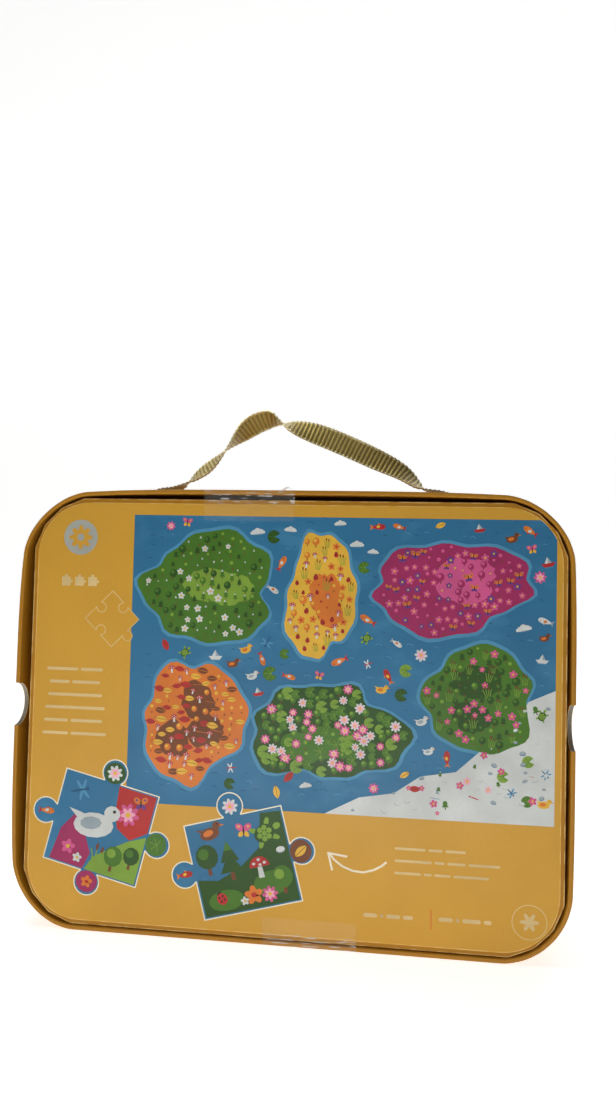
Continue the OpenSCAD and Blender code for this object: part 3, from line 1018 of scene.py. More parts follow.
def blossom(outer, heart):
    return petals(5, 3.2, 1.1, outer, 1, 18) + [(oval(0, 0, 0.9, 0.9, 0, 7), heart, 2)]


STAMPS = {
    "pad": lily_pad("leaf", "leaf_light"),
    "pad_dark": lily_pad("leaf_dark", "leaf"),
    "pad_light": lily_pad("leaf_light", "leaf"),
    "lily_pink": water_lily("pink", "blush"),
    "lily_white": water_lily("white", "blush"),
    "fish_orange": pond_fish("orange", "white", "red"),
    "fish_red": pond_fish("red", "yellow", "orange"),
    "fish_pale": pond_fish("white", "orange", "grey"),
    "duck_white": pond_duck("white", "grey"),
    "duck_brown": pond_duck("brown", "orange"),
    "duck_yellow": pond_duck("yellow", "orange"),
    "boat_white": paper_boat("white", "white"),
    "boat_red": paper_boat("red", "white"),
    "turtle": turtle("leaf_dark", "leaf_light"),
    "dragonfly_red": dragonfly("red", "white"),
    "dragonfly_blue": dragonfly("deep", "shallow"),
    "butterfly_pink": butterfly("pink", "yellow"),
    "butterfly_orange": butterfly("orange", "violet"),
    "leaf_red": fallen_leaf("red", "brown"),
    "leaf_gold": fallen_leaf("yellow", "brown"),
    "leaf_brown": fallen_leaf("brown", "orange"),
    "tree_round": round_tree("leaf", "leaf_light"),
    "tree_dark": round_tree("leaf_dark", "leaf"),
    "tree_gold": round_tree("orange", "yellow"),
    "tree_pink": round_tree("magenta", "pink"),
    "pine": pine_tree("leaf_dark", "leaf"),
    "pine_snow": pine_tree("leaf", "white"),
    "stone_white": stone("white", "grey"),
    "stone_grey": stone("grey", "deep"),
    "foam": foam("white", "grey"),
    "reeds": reeds("leaf_light", "brown"),
    "toadstool": toadstool("red", "white"),
    "ladybird": ladybird("red", "dark"),
    "blossom_pink": blossom("pink", "yellow"),
    "blossom_violet": blossom("violet", "yellow"),
    "blossom_orange": blossom("orange", "red"),
    "blossom_white": blossom("white", "yellow"),
}
STAMPS_MADE = {}


def stamp(name):
    """The model of a stamp, made once at the origin."""
    if name not in STAMPS_MADE:
        STAMPS_MADE[name] = join([ink_shape(*shape) for shape in STAMPS[name]], "stamp_" + name)
        STAMPS_MADE[name].hide_render = True
    return STAMPS_MADE[name]


def stamp_copy(name, x, y, size, turn, level):
    """A copy of a stamp, its middle at x and y in millimetres, a little off the level of its neighbours."""
    twin = twin_of(stamp(name))
    twin.hide_render = False
    step = len(bpy.data.meshes) * 0.137 % 0.95
    place = Matrix.Translation((x * MM, -(level + step) * INK, y * MM))
    spin = Matrix.Rotation(-math.radians(turn), 4, "Y")
    twin.data.transform(place @ spin @ Matrix.Diagonal((size, 1, size, 1)))
    return twin


def scatter(dice, outline, count, gap, taken):
    """Random places inside an outline that keep a gap from each other and from the places taken."""
    xs, ys = [p[0] for p in outline], [p[1] for p in outline]
    found = []
    for _ in range(count * 40):
        spot = (dice.uniform(min(xs), max(xs)), dice.uniform(min(ys), max(ys)))
        if len(found) == count:
            break
        if inside(spot, outline) and all(math.dist(spot, t[:2]) > gap / 2 + t[2] for t in taken):
            found.append(spot)
            taken.append((*spot, gap / 2))
    return found


def inside(spot, outline):
    """Whether a place lies in an outline."""
    x, y = spot
    hit = False
    for i, (ax, ay) in enumerate(outline):
        bx, by = outline[i - 1]
        if (ay > y) != (by > y) and x < (bx - ax) * (y - ay) / (by - ay) + ax:
            hit = not hit
    return hit


def shrunk(outline, share):
    x = sum(p[0] for p in outline) / len(outline)
    y = sum(p[1] for p in outline) / len(outline)
    return [(x + (px - x) * share, y + (py - y) * share) for px, py in outline]


# Islands of the pond picture: middle and half sizes as shares of the picture's, two grounds, and what grows there
ISLANDS = [
    (
        (-0.62, 0.5), (0.33, 0.36), "leaf", "leaf_light",
        ("tree_round", "tree_dark", "pine", "blossom_white", "pine_snow"),
    ),
    (
        (-0.08, 0.46), (0.17, 0.4), "yellow", "orange",
        ("tree_gold", "toadstool", "blossom_orange", "ladybird", "reeds"),
    ),
    (
        (0.52, 0.54), (0.36, 0.3), "magenta", "pink",
        ("tree_pink", "blossom_violet", "blossom_pink", "butterfly_orange"),
    ),
    (
        (-0.68, -0.42), (0.25, 0.4), "orange", "brown",
        ("leaf_red", "leaf_gold", "tree_gold", "toadstool", "leaf_brown"),
    ),
    (
        (-0.04, -0.46), (0.33, 0.34), "leaf_dark", "leaf",
        ("pad", "pad_light", "lily_pink", "lily_white", "tree_round"),
    ),
    (
        (0.66, -0.2), (0.26, 0.33), "leaf", "leaf_dark",
        ("pine", "tree_round", "tree_dark", "blossom_pink", "reeds"),
    ),
]
SWIMMERS = (
    "fish_orange", "foam", "duck_white", "pad", "lily_pink", "fish_red", "boat_white", "leaf_red", "foam", "turtle",
    "pad_light", "dragonfly_red", "fish_pale", "lily_white", "duck_yellow", "boat_red", "leaf_gold", "butterfly_pink",
    "pad_dark", "fish_orange", "dragonfly_blue", "duck_brown",
)
# Swimmers that may be turned any way round
TURNED = ("fish_orange", "fish_red", "fish_pale", "leaf_red", "leaf_gold", "dragonfly_red", "dragonfly_blue", "turtle")


PEBBLES = ("stone_white", "stone_grey", "pine_snow", "blossom_pink", "stone_grey", "stone_white")
# The shore's line from the picture's lower edge to its right one: shares of its width from the right and of its height
SHORE_LINE = [
    (0.52, 0), (0.44, 0.06), (0.36, 0.08), (0.3, 0.14), (0.22, 0.16),
    (0.16, 0.24), (0.1, 0.3), (0.06, 0.4), (0, 0.44),
]


def pond_picture(outline, width, height, size, seed):
    """A pond seen from above: water, islands with trees and flowers, a stony shore, and what swims between them."""
    dice = random.Random(seed)
    shapes = [ink_shape(outline, FINISH["water"], 1)]
    taken = []
    for number, (middle, half, ground, lit, plants) in enumerate(ISLANDS):
        x, y = middle[0] * width / 2, middle[1] * height / 2
        rx, ry = half[0] * width / 2, half[1] * height / 2
        shore = wavy(x, y, rx, ry, seed + number)
        shapes.append(ink_shape(wavy(x, y, rx + 1.6, ry + 1.6, seed + number), "shallow", 2))
        shapes.append(ink_shape(shore, ground, 3))
        for k in range(3):
            spot = (x + dice.uniform(-0.4, 0.4) * rx, y + dice.uniform(-0.4, 0.4) * ry)
            shapes.append(ink_shape(wavy(*spot, rx * 0.34, ry * 0.3, seed + 9 * number + k, 22), lit, 4 + k))
        spots = scatter(dice, shrunk(shore, 0.9), int(rx * ry / (9 * size * size)), 5.4 * size, taken)
        for spot in sorted(spots, key=lambda s: -s[1]):
            plant = dice.choice(plants)
            shapes.append(stamp_copy(plant, *spot, dice.uniform(0.62, 0.95) * size, dice.uniform(-12, 12), 7))
        taken.append((x, y, min(rx, ry) * 0.7))
        taken += [(*p, 2.5 * size) for p in shore[::2]]
    shore = stony_shore(outline, width, height)
    shapes.append(ink_shape(shore, "white", 2.5))
    for spot in scatter(dice, shrunk(shore, 0.93), 46, 5 * size, []):
        pebble = dice.choice(PEBBLES)
        shapes.append(stamp_copy(pebble, *spot, dice.uniform(0.5, 1.0) * size, dice.uniform(-25, 25), 3))
    taken += [(*p, 3.2 * size) for p in shore]
    for number, spot in enumerate(scatter(dice, shrunk(outline, 0.92), 70, 11 * size, taken)):
        swimmer = SWIMMERS[number % len(SWIMMERS)]
        turn = dice.uniform(0, 360) if swimmer in TURNED else dice.uniform(-14, 14)
        shapes.append(stamp_copy(swimmer, *spot, dice.uniform(0.72, 1.05) * size, turn, 2))
    for spot in scatter(dice, shrunk(outline, 0.95), 90, 5.5 * size, taken):
        line = arc(*spot, dice.uniform(1.6, 3) * size, dice.uniform(20, 60), dice.uniform(110, 150), 5)
        shapes.append(ink_shape(stroke(line, 0.45 * size), dice.choice(("shallow", "deep", "deep")), 2))
    return shapes


def stony_shore(outline, width, height):
    """A pale stony shore that fills the lower right corner of a picture's outline."""
    right, low = width / 2, -height / 2
    corner = [p for p in reversed(outline) if p[0] > 0.85 * right and p[1] < 0.85 * low]
    return [(right - share * width, low + rise * height) for share, rise in SHORE_LINE] + corner


def moved(outline, x, y):
    return [(x + px, y + py) for px, py in outline]


def set_on(shapes, name, face_y, x, z, facing):
    """Joins printed shapes into one piece and lays it on a label that faces -Y or +Y."""
    sheet = join(shapes, name)
    place = Matrix.Translation((x, face_y, z))
    turn = Matrix.Rotation(0 if facing < 0 else math.pi, 4, "Z")
    sheet.data.transform(place @ turn)
    return sheet


def clipped_corner(right, top, corner_x, corner_y, radius):
    """Points that take a picture's upper right corner off along the label's round corner, in millimetres."""
    start = math.degrees(math.asin((top - corner_y) / radius))
    end = math.degrees(math.acos((right - corner_x) / radius))
    return arc(corner_x, corner_y, radius, end, start, 6)


# The back picture's left, right, lower and upper edge, in millimetres from the middle of the label's lower edge
BACK_PICTURE = (-80.7, 128.3, 60.0, 204.5)
BACK_STAMP_SIZE, BACK_SEED = 0.7, 11


def build_back_print():
    """The back label's picture, its two life-size pieces and its small marks."""
    finish = look().box
    half_w, tall = (BACK_HIGH.x - BACK_LOW.x) / 2 / MM, (BACK_HIGH.z - BACK_LOW.z) / MM
    middle_x, low_z = (BACK_LOW.x + BACK_HIGH.x) / 2, BACK_LOW.z
    left, right, low, top = BACK_PICTURE
    px, py = (left + right) / 2, (low + top) / 2
    radius = (finish.label_corner_r - finish.label_edge) / MM
    corner_x, corner_y = half_w - finish.label_corner_r / MM, tall - finish.label_corner_r / MM
    corner = clipped_corner(right - px, top - py, corner_x - px, corner_y - py, radius)
    w, h = right - left, top - low
    outline = [(-w / 2, h / 2), (-w / 2, -h / 2), (w / 2, -h / 2)] + corner
    shapes = pond_picture(outline, w, h, BACK_STAMP_SIZE, BACK_SEED)
    picture = set_on(shapes, "back_picture", BACK_LOW.y, middle_x + px * MM, low_z + py * MM, -1)
    seat(picture, "tray", "label_paper")
    marks = set_on(back_marks(), "back_marks", BACK_LOW.y, middle_x, low_z, -1)
    seat(marks, "tray", "label_paper")
    for name, x, y, turn, knobs, drawing in PRINTED_PIECES:
        shapes = printed_piece(knobs, drawing)
        spin = Matrix.Rotation(-math.radians(turn), 4, "Y")
        for shape in shapes:
            shape.data.transform(spin)
        sheet = set_on(shapes, name, BACK_LOW.y, middle_x + x * MM, low_z + y * MM, -1)
        seat(sheet, "tray", "label_paper")


def bar(x, y, wide, high):
    """A plain bar with round ends, from its left end."""
    r = high / 2
    return arc(x + r, y, r, 90, 270, 6) + arc(x + wide - r, y, r, -90, 90, 6)


# Plain marks on the back label, in millimetres from the middle of its lower edge
BADGE, RING = (-109, 192.6), (117.5, 15)
SMALL_PIECES = [(-116, 170), (-109, 170), (-102, 170)]
OUTLINED_PIECE = (-91, 151.4)
DIVIDER = [(71.8, 8.4), (71.8, 17.6)]
# Bars that stand where lines of words would: left end, height, and the lengths of their parts
TEXT_BARS = [
    (-124.6, 125.3, (18, 13)), (-123, 118.8, (12, 16)), (-123.6, 112.3, (30,)),
    (-125, 105.8, (33,)), (-125.2, 99.3, (14, 18)), (-126, 92.8, (15, 20)),
]
NOTE_BARS = [(54, 45.4, (16, 8, 11)), (54, 39.6, (19, 6, 10, 16)), (54, 33.8, (14, 5, 9, 18))]
SIZE_BARS = [(39.5, 13, (8, 3, 8, 6)), (75.4, 13.4, (8, 3, 10, 5))]
ARROW_SHAFT = [(22.2, 41.2), (25, 38), (29, 35.2), (34, 33.4), (39, 33), (44, 34.4), (47.6, 36.4), (50.2, 38.6)]
ARROW_BARBS = [[(21.8, 41.2), (31.2, 40)], [(21.8, 41.6), (24, 33)]]


def back_marks():
    """Badge, bars in place of words, arrow, ring and an outlined piece, all plain."""
    shapes = [ink_shape(oval(*BADGE, 9, 9, 0, 32), "mist", 1)]
    for outline, material, level in petals(8, 6.4, 1.5, FINISH["label"], 2):
        shapes.append(ink_shape(moved(outline, *BADGE), material, level))
    shapes.append(ink_shape(oval(*BADGE, 1.9, 1.9, 0, 16), "mist", 3))
    for place in SMALL_PIECES:
        small = piece_outline(4.6, 4.6, (1, 1, 0, 0), 1.3, 0.8, 0.55, 6)
        shapes.append(ink_shape(moved(small, *place), "pale", 1))
    for bars, high in ((TEXT_BARS, 1.5), (NOTE_BARS, 1.2), (SIZE_BARS, 1.9)):
        for x, y, parts in bars:
            for wide in parts:
                shapes.append(ink_shape(bar(x, y, wide - 1.3, high), "pale", 1))
                x += wide
    shapes.append(ink_shape(stroke(DIVIDER, 0.6), "orange", 1))
    shapes.append(ink_shape(stroke(ARROW_SHAFT, 1), "chalk", 1))
    shapes += [ink_shape(stroke(line, 1), "chalk", 1 + 0.3 * k) for k, line in enumerate(ARROW_BARBS, 1)]
    for start in (0, 180):
        shapes.append(ink_shape(stroke(arc(*RING, 8, start, start + 180, 24), 0.4), "pale", 1))
    for outline, name, level in petals(6, 4.6, 1, "pale", 1):
        shapes.append(ink_shape(moved(outline, *RING), name, level))
    return shapes + outlined_piece(*OUTLINED_PIECE)


def outlined_piece(x, y):
    """A bare jigsaw piece with a thin edge line, standing on its corner."""
    c = math.sqrt(0.5)
    shapes = []
    for grow, name, level in ((0.2, "pale", 3), (-0.2, FINISH["label"], 4)):
        outline = piece_outline(20, 20, (-1, -1, -1, 1), 4.4, 2.5, 1.7, 10, grow)
        shapes.append(ink_shape([(x + c * (u - v), y + c * (u + v)) for u, v in outline], name, level))
    return shapes


def printed_piece(knobs, drawing):
    """A life-size piece printed on the label, with a pale edge line and a drawing."""
    sizes = look().pieces
    w, h = sizes.width / MM, sizes.height / MM
    reach, radius, neck = sizes.knob_reach / MM, sizes.knob_r / MM, sizes.neck / MM
    rim = piece_outline(w, h, knobs, reach, radius, neck, 16, 0.6)
    face = piece_outline(w, h, knobs, reach, radius, neck, 16)
    shapes = [ink_shape(rim, "chalk", 2), ink_shape(face, FINISH["water"], 3)]
    shapes += [ink_shape(*ground) for ground in drawing["grounds"]]
    return shapes + [stamp_copy(*row, 6) for row in drawing["stamps"]]


# The two life-size pieces: name, middle in millimetres, turn in degrees, knobs, and a drawing. Its grounds are outlines
# with their ink and level, and its stamps have a place, a size and a turn
PRINTED_PIECES = [
    ("printed_piece_left", -93.3, 46.6, -13.7, (1, 1, 1, 1), {
        "grounds": [
            ([(4, 22.4), (24, 22.4), (24, 4), (16, -2), (8, 2), (5, 12)], "red", 4),
            ([(-22, -22.4), (-4, -22.4), (-2, -14), (-8, -4), (-14, 4), (-20, -6)], "magenta", 4),
            ([(-3, -22.4), (24, -22.4), (24, 2), (15, -3), (6, -10), (0, -15)], "leaf_light", 5),
            (oval(0, -28, 5.6, 5.4, 0, 18), "magenta", 4),
            (oval(29.6, 0, 5.4, 5.6, 0, 18), "leaf", 4),
            (oval(0, 28, 5.6, 5.4, 0, 18), "leaf_dark", 4),
        ],
        "stamps": [
            ("duck_white", -4, 0, 2.5, 4), ("lily_pink", 12, 10, 1.3, 0), ("tree_round", 10, -14, 1.6, 0),
            ("tree_dark", 19, -11, 1.4, 0), ("reeds", 2, -15, 1.2, 0), ("butterfly_orange", 17, 17, 1, 15),
            ("blossom_pink", -14, -14, 1.2, 0), ("blossom_white", -8, -18, 0.8, 0), ("blossom_orange", 0, -28, 1, 0),
            ("pad", 29.6, 0, 0.8, 0), ("lily_white", 0, 28, 0.9, 0), ("dragonfly_blue", -15, 15, 1.2, 25),
            ("fish_orange", -29, 0, 0.7, 10),
        ],
    }),
    ("printed_piece_right", -20.2, 33.6, 14.9, (1, 1, 1, 0), {
        "grounds": [
            ([(-24, -22.4), (24, -22.4), (24, 21), (14, 22), (10, 6), (-2, -2), (-14, -6), (-24, -4)], "leaf_dark", 4),
            (oval(12, -12, 9, 6, 0, 18), "leaf", 5),
            (oval(-12, -16, 9, 5, 0, 18), "leaf", 5),
            (oval(29.6, 0, 5.4, 5.6, 0, 18), "brown", 4),
        ],
        "stamps": [
            ("tree_dark", -17, 4, 1.9, 0), ("pine", -6, 2, 2.4, 0), ("toadstool", 8, -4, 1.8, 0),
            ("turtle", 14, 12, 1.6, 20), ("ladybird", -14, -15, 1.4, 20), ("blossom_orange", 2, -16, 1.5, 0),
            ("tree_round", 18, -12, 1.7, 0), ("duck_brown", -13, 17, 1.2, 0), ("butterfly_pink", 4, 15, 1.1, -10),
            ("lily_pink", 10, -17, 0.9, 0), ("blossom_white", -3, -18, 0.7, 0), ("fish_red", -29.4, 0, 0.7, 0),
            ("lily_white", 0, 28, 0.9, 0), ("leaf_gold", 29.6, 0, 0.8, 30), ("stone_white", 20, 3, 1, 0),
        ],
    }),
]


# The front picture's width, height and corner radius, and how far it lies below the label's middle, in millimetres
FRONT_PICTURE, FRONT_PICTURE_DROP = (232, 150, 9), 19
FRONT_STAMP_SIZE, FRONT_SEED = 1.05, 29
TITLE_BAR, TITLE_BAR_RISE = (160, 20), 80
TITLE_INKS = ("pink", "leaf", "water", "orange", "red")
TITLE_PITCH = 20


def build_front_print():
    """The front label's large picture and its bare title bar."""
    middle_x, middle_z = (FRONT_LOW.x + FRONT_HIGH.x) / 2, (FRONT_LOW.z + FRONT_HIGH.z) / 2
    face_y = FRONT_HIGH.y - PRINT_ROOM
    w, h, r = FRONT_PICTURE
    x, y = w / 2 - r, h / 2 - r
    corners = [(x, y, 0), (-x, y, 90), (-x, -y, 180), (x, -y, 270)]
    outline = [p for cx, cy, a in corners for p in arc(cx, cy, r, a, a + 90, 8)]
    shapes = pond_picture(outline, w, h, FRONT_STAMP_SIZE, FRONT_SEED)
    picture = set_on(shapes, "front_picture", face_y, middle_x, middle_z - FRONT_PICTURE_DROP * MM, 1)
    seat(picture, "lid", "label_paper")
    band = [ink_shape(bar(-TITLE_BAR[0] / 2, 0, *TITLE_BAR), "pale", 1)]
    for k, name in enumerate(TITLE_INKS):
        small = piece_outline(9, 9, (1, 1, 0, 0), 2.6, 1.6, 1.1, 8)
        band.append(ink_shape(moved(small, TITLE_PITCH * (k - 2), 0), name, 2))
    title = set_on(band, "front_title_bar", face_y, middle_x, middle_z + TITLE_BAR_RISE * MM, 1)
    seat(title, "lid", "label_paper")


# Ribbon

LOOP_START_X = 63 * MM
FOOT_RISE = 8 * MM
LOOP_RISE = 43 * MM
# How many steps the ribbon's grid takes along each rib
STEPS_PER_RIB = 12
# The loop's points: share of its half span, share of its rise and twist in degrees
LOOP_POINTS = [
    (-1, 0, 12), (-0.9, 0.13, 34), (-0.78, 0.3, 36), (-0.61, 0.61, 2), (-0.45, 0.88, -48), (-0.3, 1, -44),
    (-0.19, 0.97, -4), (-0.06, 0.89, 40), (0.16, 0.76, 74), (0.37, 0.61, 80), (0.62, 0.41, 74), (0.86, 0.2, 50),
    (1, 0, 24),
]
# The right foot in millimetres, from the loop to the end of its tail: distance from the middle and height over the lid
FOOT_POINTS = [
    (66.4, 5.6), (70.5, 4.5), (75.5, 3.9), (80, 2.6), (82.3, 0.7),
    (82.5, -1.1), (82.1, -2.4), (79.5, -2.66), (70, -2.66), (59, -2.66),
]


def smooth_line(points, steps):
    """Points on a smooth curve through a list of points."""
    line = []
    for i in range(len(points) - 1):
        a, b = Vector(points[max(i - 1, 0)]), Vector(points[i])
        c, d = Vector(points[i + 1]), Vector(points[min(i + 2, len(points) - 1)])
        for s in range(steps):
            t = s / steps
            bend, twist = 2 * a - 5 * b + 4 * c - d, 3 * b - a - 3 * c + d
            line.append(0.5 * (2 * b + (c - a) * t + bend * t * t + twist * t ** 3))
    return line + [Vector(points[-1])]


def even_steps(line, step):
    """Points a step apart along a curve, and the curve's length."""
    found, travelled, due = [], 0, 0
    for a, b in zip(line, line[1:]):
        span = math.dist(a[:2], b[:2])
        while span > 0 and due <= travelled + span:
            found.append(a.lerp(b, (due - travelled) / span))
            due += step
        travelled += span
    return found, travelled


def heading(line, i):
    """Direction of a curve at one of its points, in its first two axes."""
    return (line[min(i + 1, len(line) - 1)] - line[max(i - 1, 0)]).xy.normalized()


def on_edge(across):
    """Whether a share across a strip is that of its edge."""
    return abs(2 * across - 1) > 0.99


def ribbon_line():
    """The whole ribbon from tail to tail: x, height over the lid and twist."""
    loop = [(LOOP_START_X * x, FOOT_RISE + (LOOP_RISE - FOOT_RISE) * z, turn) for x, z, turn in LOOP_POINTS]
    right = [(x * MM, z * MM, 6 if x < 68 and z > 0 else 0) for x, z in FOOT_POINTS]
    left = [(-x, z, 0) for x, z, _ in reversed(right)]
    return smooth_line(left + loop + right, 24)


def build_ribbon():
    """One ribbed ribbon through both slits, bending between the lid and the handle."""
    finish = look().ribbon
    line, total = even_steps(ribbon_line(), finish.rib_pitch / STEPS_PER_RIB)
    last = len(line) - 1

    def place(across, along):
        i = min(round(along * last), last)
        x, rise, turn = line[i]
        forward = heading(line, i)
        up = Vector((-forward.y, 0, forward.x))
        angle = math.radians(turn)
        side = Vector((0, math.cos(angle), 0)) + math.sin(angle) * up
        face = math.cos(angle) * up - Vector((0, math.sin(angle), 0))
        phase = math.pi * i / STEPS_PER_RIB
        rib = abs(math.cos(phase)) - 0.6 + 0.16 * math.cos(4 * phase)
        edge = on_edge(across)
        swell = finish.rib_height * rib * (1.3 if edge else 1)
        reach = (across - 0.5) * (finish.width + (0.3 * MM * rib if edge else 0))
        return Vector((x, 0, LID_TOP + rise)) + side * reach + face * swell

    ribbon = shaped_grid("ribbon_handle", 10, last, place)
    paint(ribbon, ribbon_material(last / STEPS_PER_RIB))
    edges = ribbon.vertex_groups.new(name="selvedge")
    corners = zip(ribbon.data.loops, ribbon.data.uv_layers.active.data)
    edges.add(sorted({loop.vertex_index for loop, uv in corners if on_edge(uv.uv.y)}), 1, "REPLACE")
    modify(
        ribbon, "SOLIDIFY", thickness=finish.selvedge, offset=0,
        vertex_group=edges.name, thickness_vertex_group=finish.thickness / finish.selvedge
    )
    shade(ribbon, 50)
    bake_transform(ribbon)
    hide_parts("ribbon_loop", "ribbon_foot_left", "ribbon_foot_right")


# Tape

FILM = 0.04 * MM
FILM_STEP = 0.25 * MM


def film(name, low, high, path, lifts, crease_highlight_zones):
    """A strip of clear film along a path in Y and Z, lifted in places, with whitish streaks of painted highlight along
    its creases.
    """
    line, _ = even_steps(smooth_line(path, 16), FILM_STEP)
    last = len(line) - 1

    def place(across, along):
        i = min(round(along * last), last)
        y, z, rough = line[i]
        forward = heading(line, i)
        out = Vector((0, -forward.y, forward.x))
        x = low + (high - low) * across
        broad = noise.noise(Vector((x / (3.2 * MM), i * 0.11, 0)))
        fine = noise.noise(Vector((x / (1.1 * MM), i * 0.05, 7)))
        lift = rough * abs(broad + 0.6 * fine) + lifts(x, i / last)
        return Vector((x, y, z)) + out * lift

    strip = shaped_grid(name, 120, last, place)
    paint(strip, FINISH["tape"], FINISH["tape_crease"])
    for face in strip.data.polygons:
        x, y, z = face.center
        highlight_streak = noise.noise(Vector((x / (7 * MM), y / (2 * MM), z / (0.7 * MM))))
        highlight_zone = crease_highlight_zones(x, y, z)
        # Painted highlight: the less clear film goes on streaks in the gap and near the tray's edge, and on all of the
        # lifted curl.
        face.material_index = int(highlight_zone > 1 or (highlight_zone > 0 and highlight_streak > 0.34))
    modify(strip, "SOLIDIFY", thickness=FILM, offset=0)
    shade(strip, 60)
    return strip


def build_tape():
    """The two seals: the upper one laps over the lid's edge and curls up at one end, the lower one ends on it."""
    label_y, edge_y = BACK_LOW.y - 0.22 * MM, TOP_SEAL_LOW.y + 0.14 * MM
    flat, loose = 0.03 * MM, 0.3 * MM
    over_z, tray_top, tray_low = LID_TOP + 0.08 * MM, TRAY_HIGH.z, TRAY_LOW.z
    curl_x, curl_half, curl_rise = TOP_SEAL_HIGH.x - 4.2 * MM, 3 * MM, 2.1 * MM

    def curl(x, along):
        return curl_rise * math.exp(-((x - curl_x) / curl_half) ** 2) * max(0, min(1, (along - 0.62) * 8))

    # Zones of painted highlight on the film: 2 where all of it is whitish, above the lid; 1 where it is whitish only in
    # streaks, in the gap and near the tray's lower edge.
    def crease_highlight_zones(x, y, z):
        if z > LID_TOP + 0.9 * MM:
            return 2
        return int(tray_top - 2 * MM < z < LID_TOP - 0.5 * MM or z < tray_low + 3 * MM)

    top = film("tape_top", TOP_SEAL_LOW.x, TOP_SEAL_HIGH.x, [
        (label_y, TOP_SEAL_LOW.z, flat), (label_y, tray_top - 4 * MM, flat), (label_y, tray_top - 0.6 * MM, loose),
        (edge_y, LID_TOP - WALL, flat), (edge_y, LID_TOP - 0.5 * MM, flat), (edge_y + 0.5 * MM, over_z, flat),
        (edge_y + 5 * MM, over_z, flat), (TOP_SEAL_HIGH.y, over_z, flat),
    ], curl, crease_highlight_zones)
    seat(top, "tray", "clear_tape", "tape_seal_top")
    bottom = film("tape_bottom", BOTTOM_SEAL_LOW.x, BOTTOM_SEAL_HIGH.x, [
        (edge_y, 0.3 * MM, flat), (edge_y, WALL, flat), (label_y, tray_low + 1.4 * MM, loose),
        (label_y, tray_low + 4 * MM, flat), (label_y, BOTTOM_SEAL_HIGH.z, flat),
    ], lambda x, along: 0, crease_highlight_zones)
    seat(bottom, "tray", "clear_tape", "tape_seal_bottom")


# Puzzle pieces

def model_piece(knob):
    """One loose piece round the origin, with the edge of its printed face pressed round."""
    sizes = look().pieces
    w, h = sizes.width - sizes.kerf, sizes.height - sizes.kerf
    grow = sizes.kerf if knob < 0 else 0
    reach = sizes.knob_reach + sizes.kerf / 2
    outline = piece_outline(w, h, (knob,) * 4, reach, sizes.knob_r + grow, sizes.neck + grow, 8)
    low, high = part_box(LAYERS[0])
    piece = prism("piece_model", outline, 0, high.y - low.y)
    paint(piece, FINISH["chipboard"], FINISH["print"])
    bevel(piece, lies_at(high.y - low.y), sizes.press, 1)
    pick(piece, "FACE", lambda face: face.normal.y > 0.3)
    give_slot(piece, 1)
    leave()
    return piece


def build_pieces():
    """All the layers of loose pieces, knobbed and socketed ones by turns."""
    sizes = look().pieces
    models = {1: model_piece(1), -1: model_piece(-1)}
    for number, node in enumerate(LAYERS, 1):
        low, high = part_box(node)
        columns = round((high.x - low.x - 2 * sizes.knob_reach) / sizes.width)
        rows = round((high.z - low.z - 2 * sizes.knob_reach) / sizes.height)
        left, bottom = (low.x + high.x) / 2 - columns * sizes.width / 2, low.z + sizes.knob_reach
        copies = []
        for column in range(columns):
            for row in range(rows):
                twin = twin_of(models[1 if (column + row + number) % 2 == 0 else -1])
                x, z = left + (column + 0.5) * sizes.width, bottom + (row + 0.5) * sizes.height
                twin.data.transform(Matrix.Translation((x, low.y, z)))
                copies.append(twin)
        layer = join(copies, node.replace("pieces", "puzzle"))
        seat(layer, LAYER_BODY[node], "puzzle_board", node)
    for model in models.values():
        remove(model)


# Stage

FLOOR_SIZE, BACKDROP, BACKDROP_BEND = 6, 4, 1.5
# Name, place, aim and size in metres, and the setting that holds the power
LAMPS = (
    ("key_light", (-0.03, -0.34, 0.015), (-0.03, 0, 0.015), (0.3, 0.02), "key"),
    ("top_light", (-0.2, -0.03, 0.6), (0, 0, 0.25), (0.3, 0.3), "top"),
    ("back_light", (0.3, 0.9, 1.2), (0, 0, 0.1), (1.0, 1.0), "back"),
)
CAMERA_PLACE = (62.5 * MM, -448 * MM, 177.6 * MM)
CAMERA_TURN, CAMERA_TILT, CAMERA_ROLL = math.radians(7.3), math.radians(2.33), math.radians(1.34)


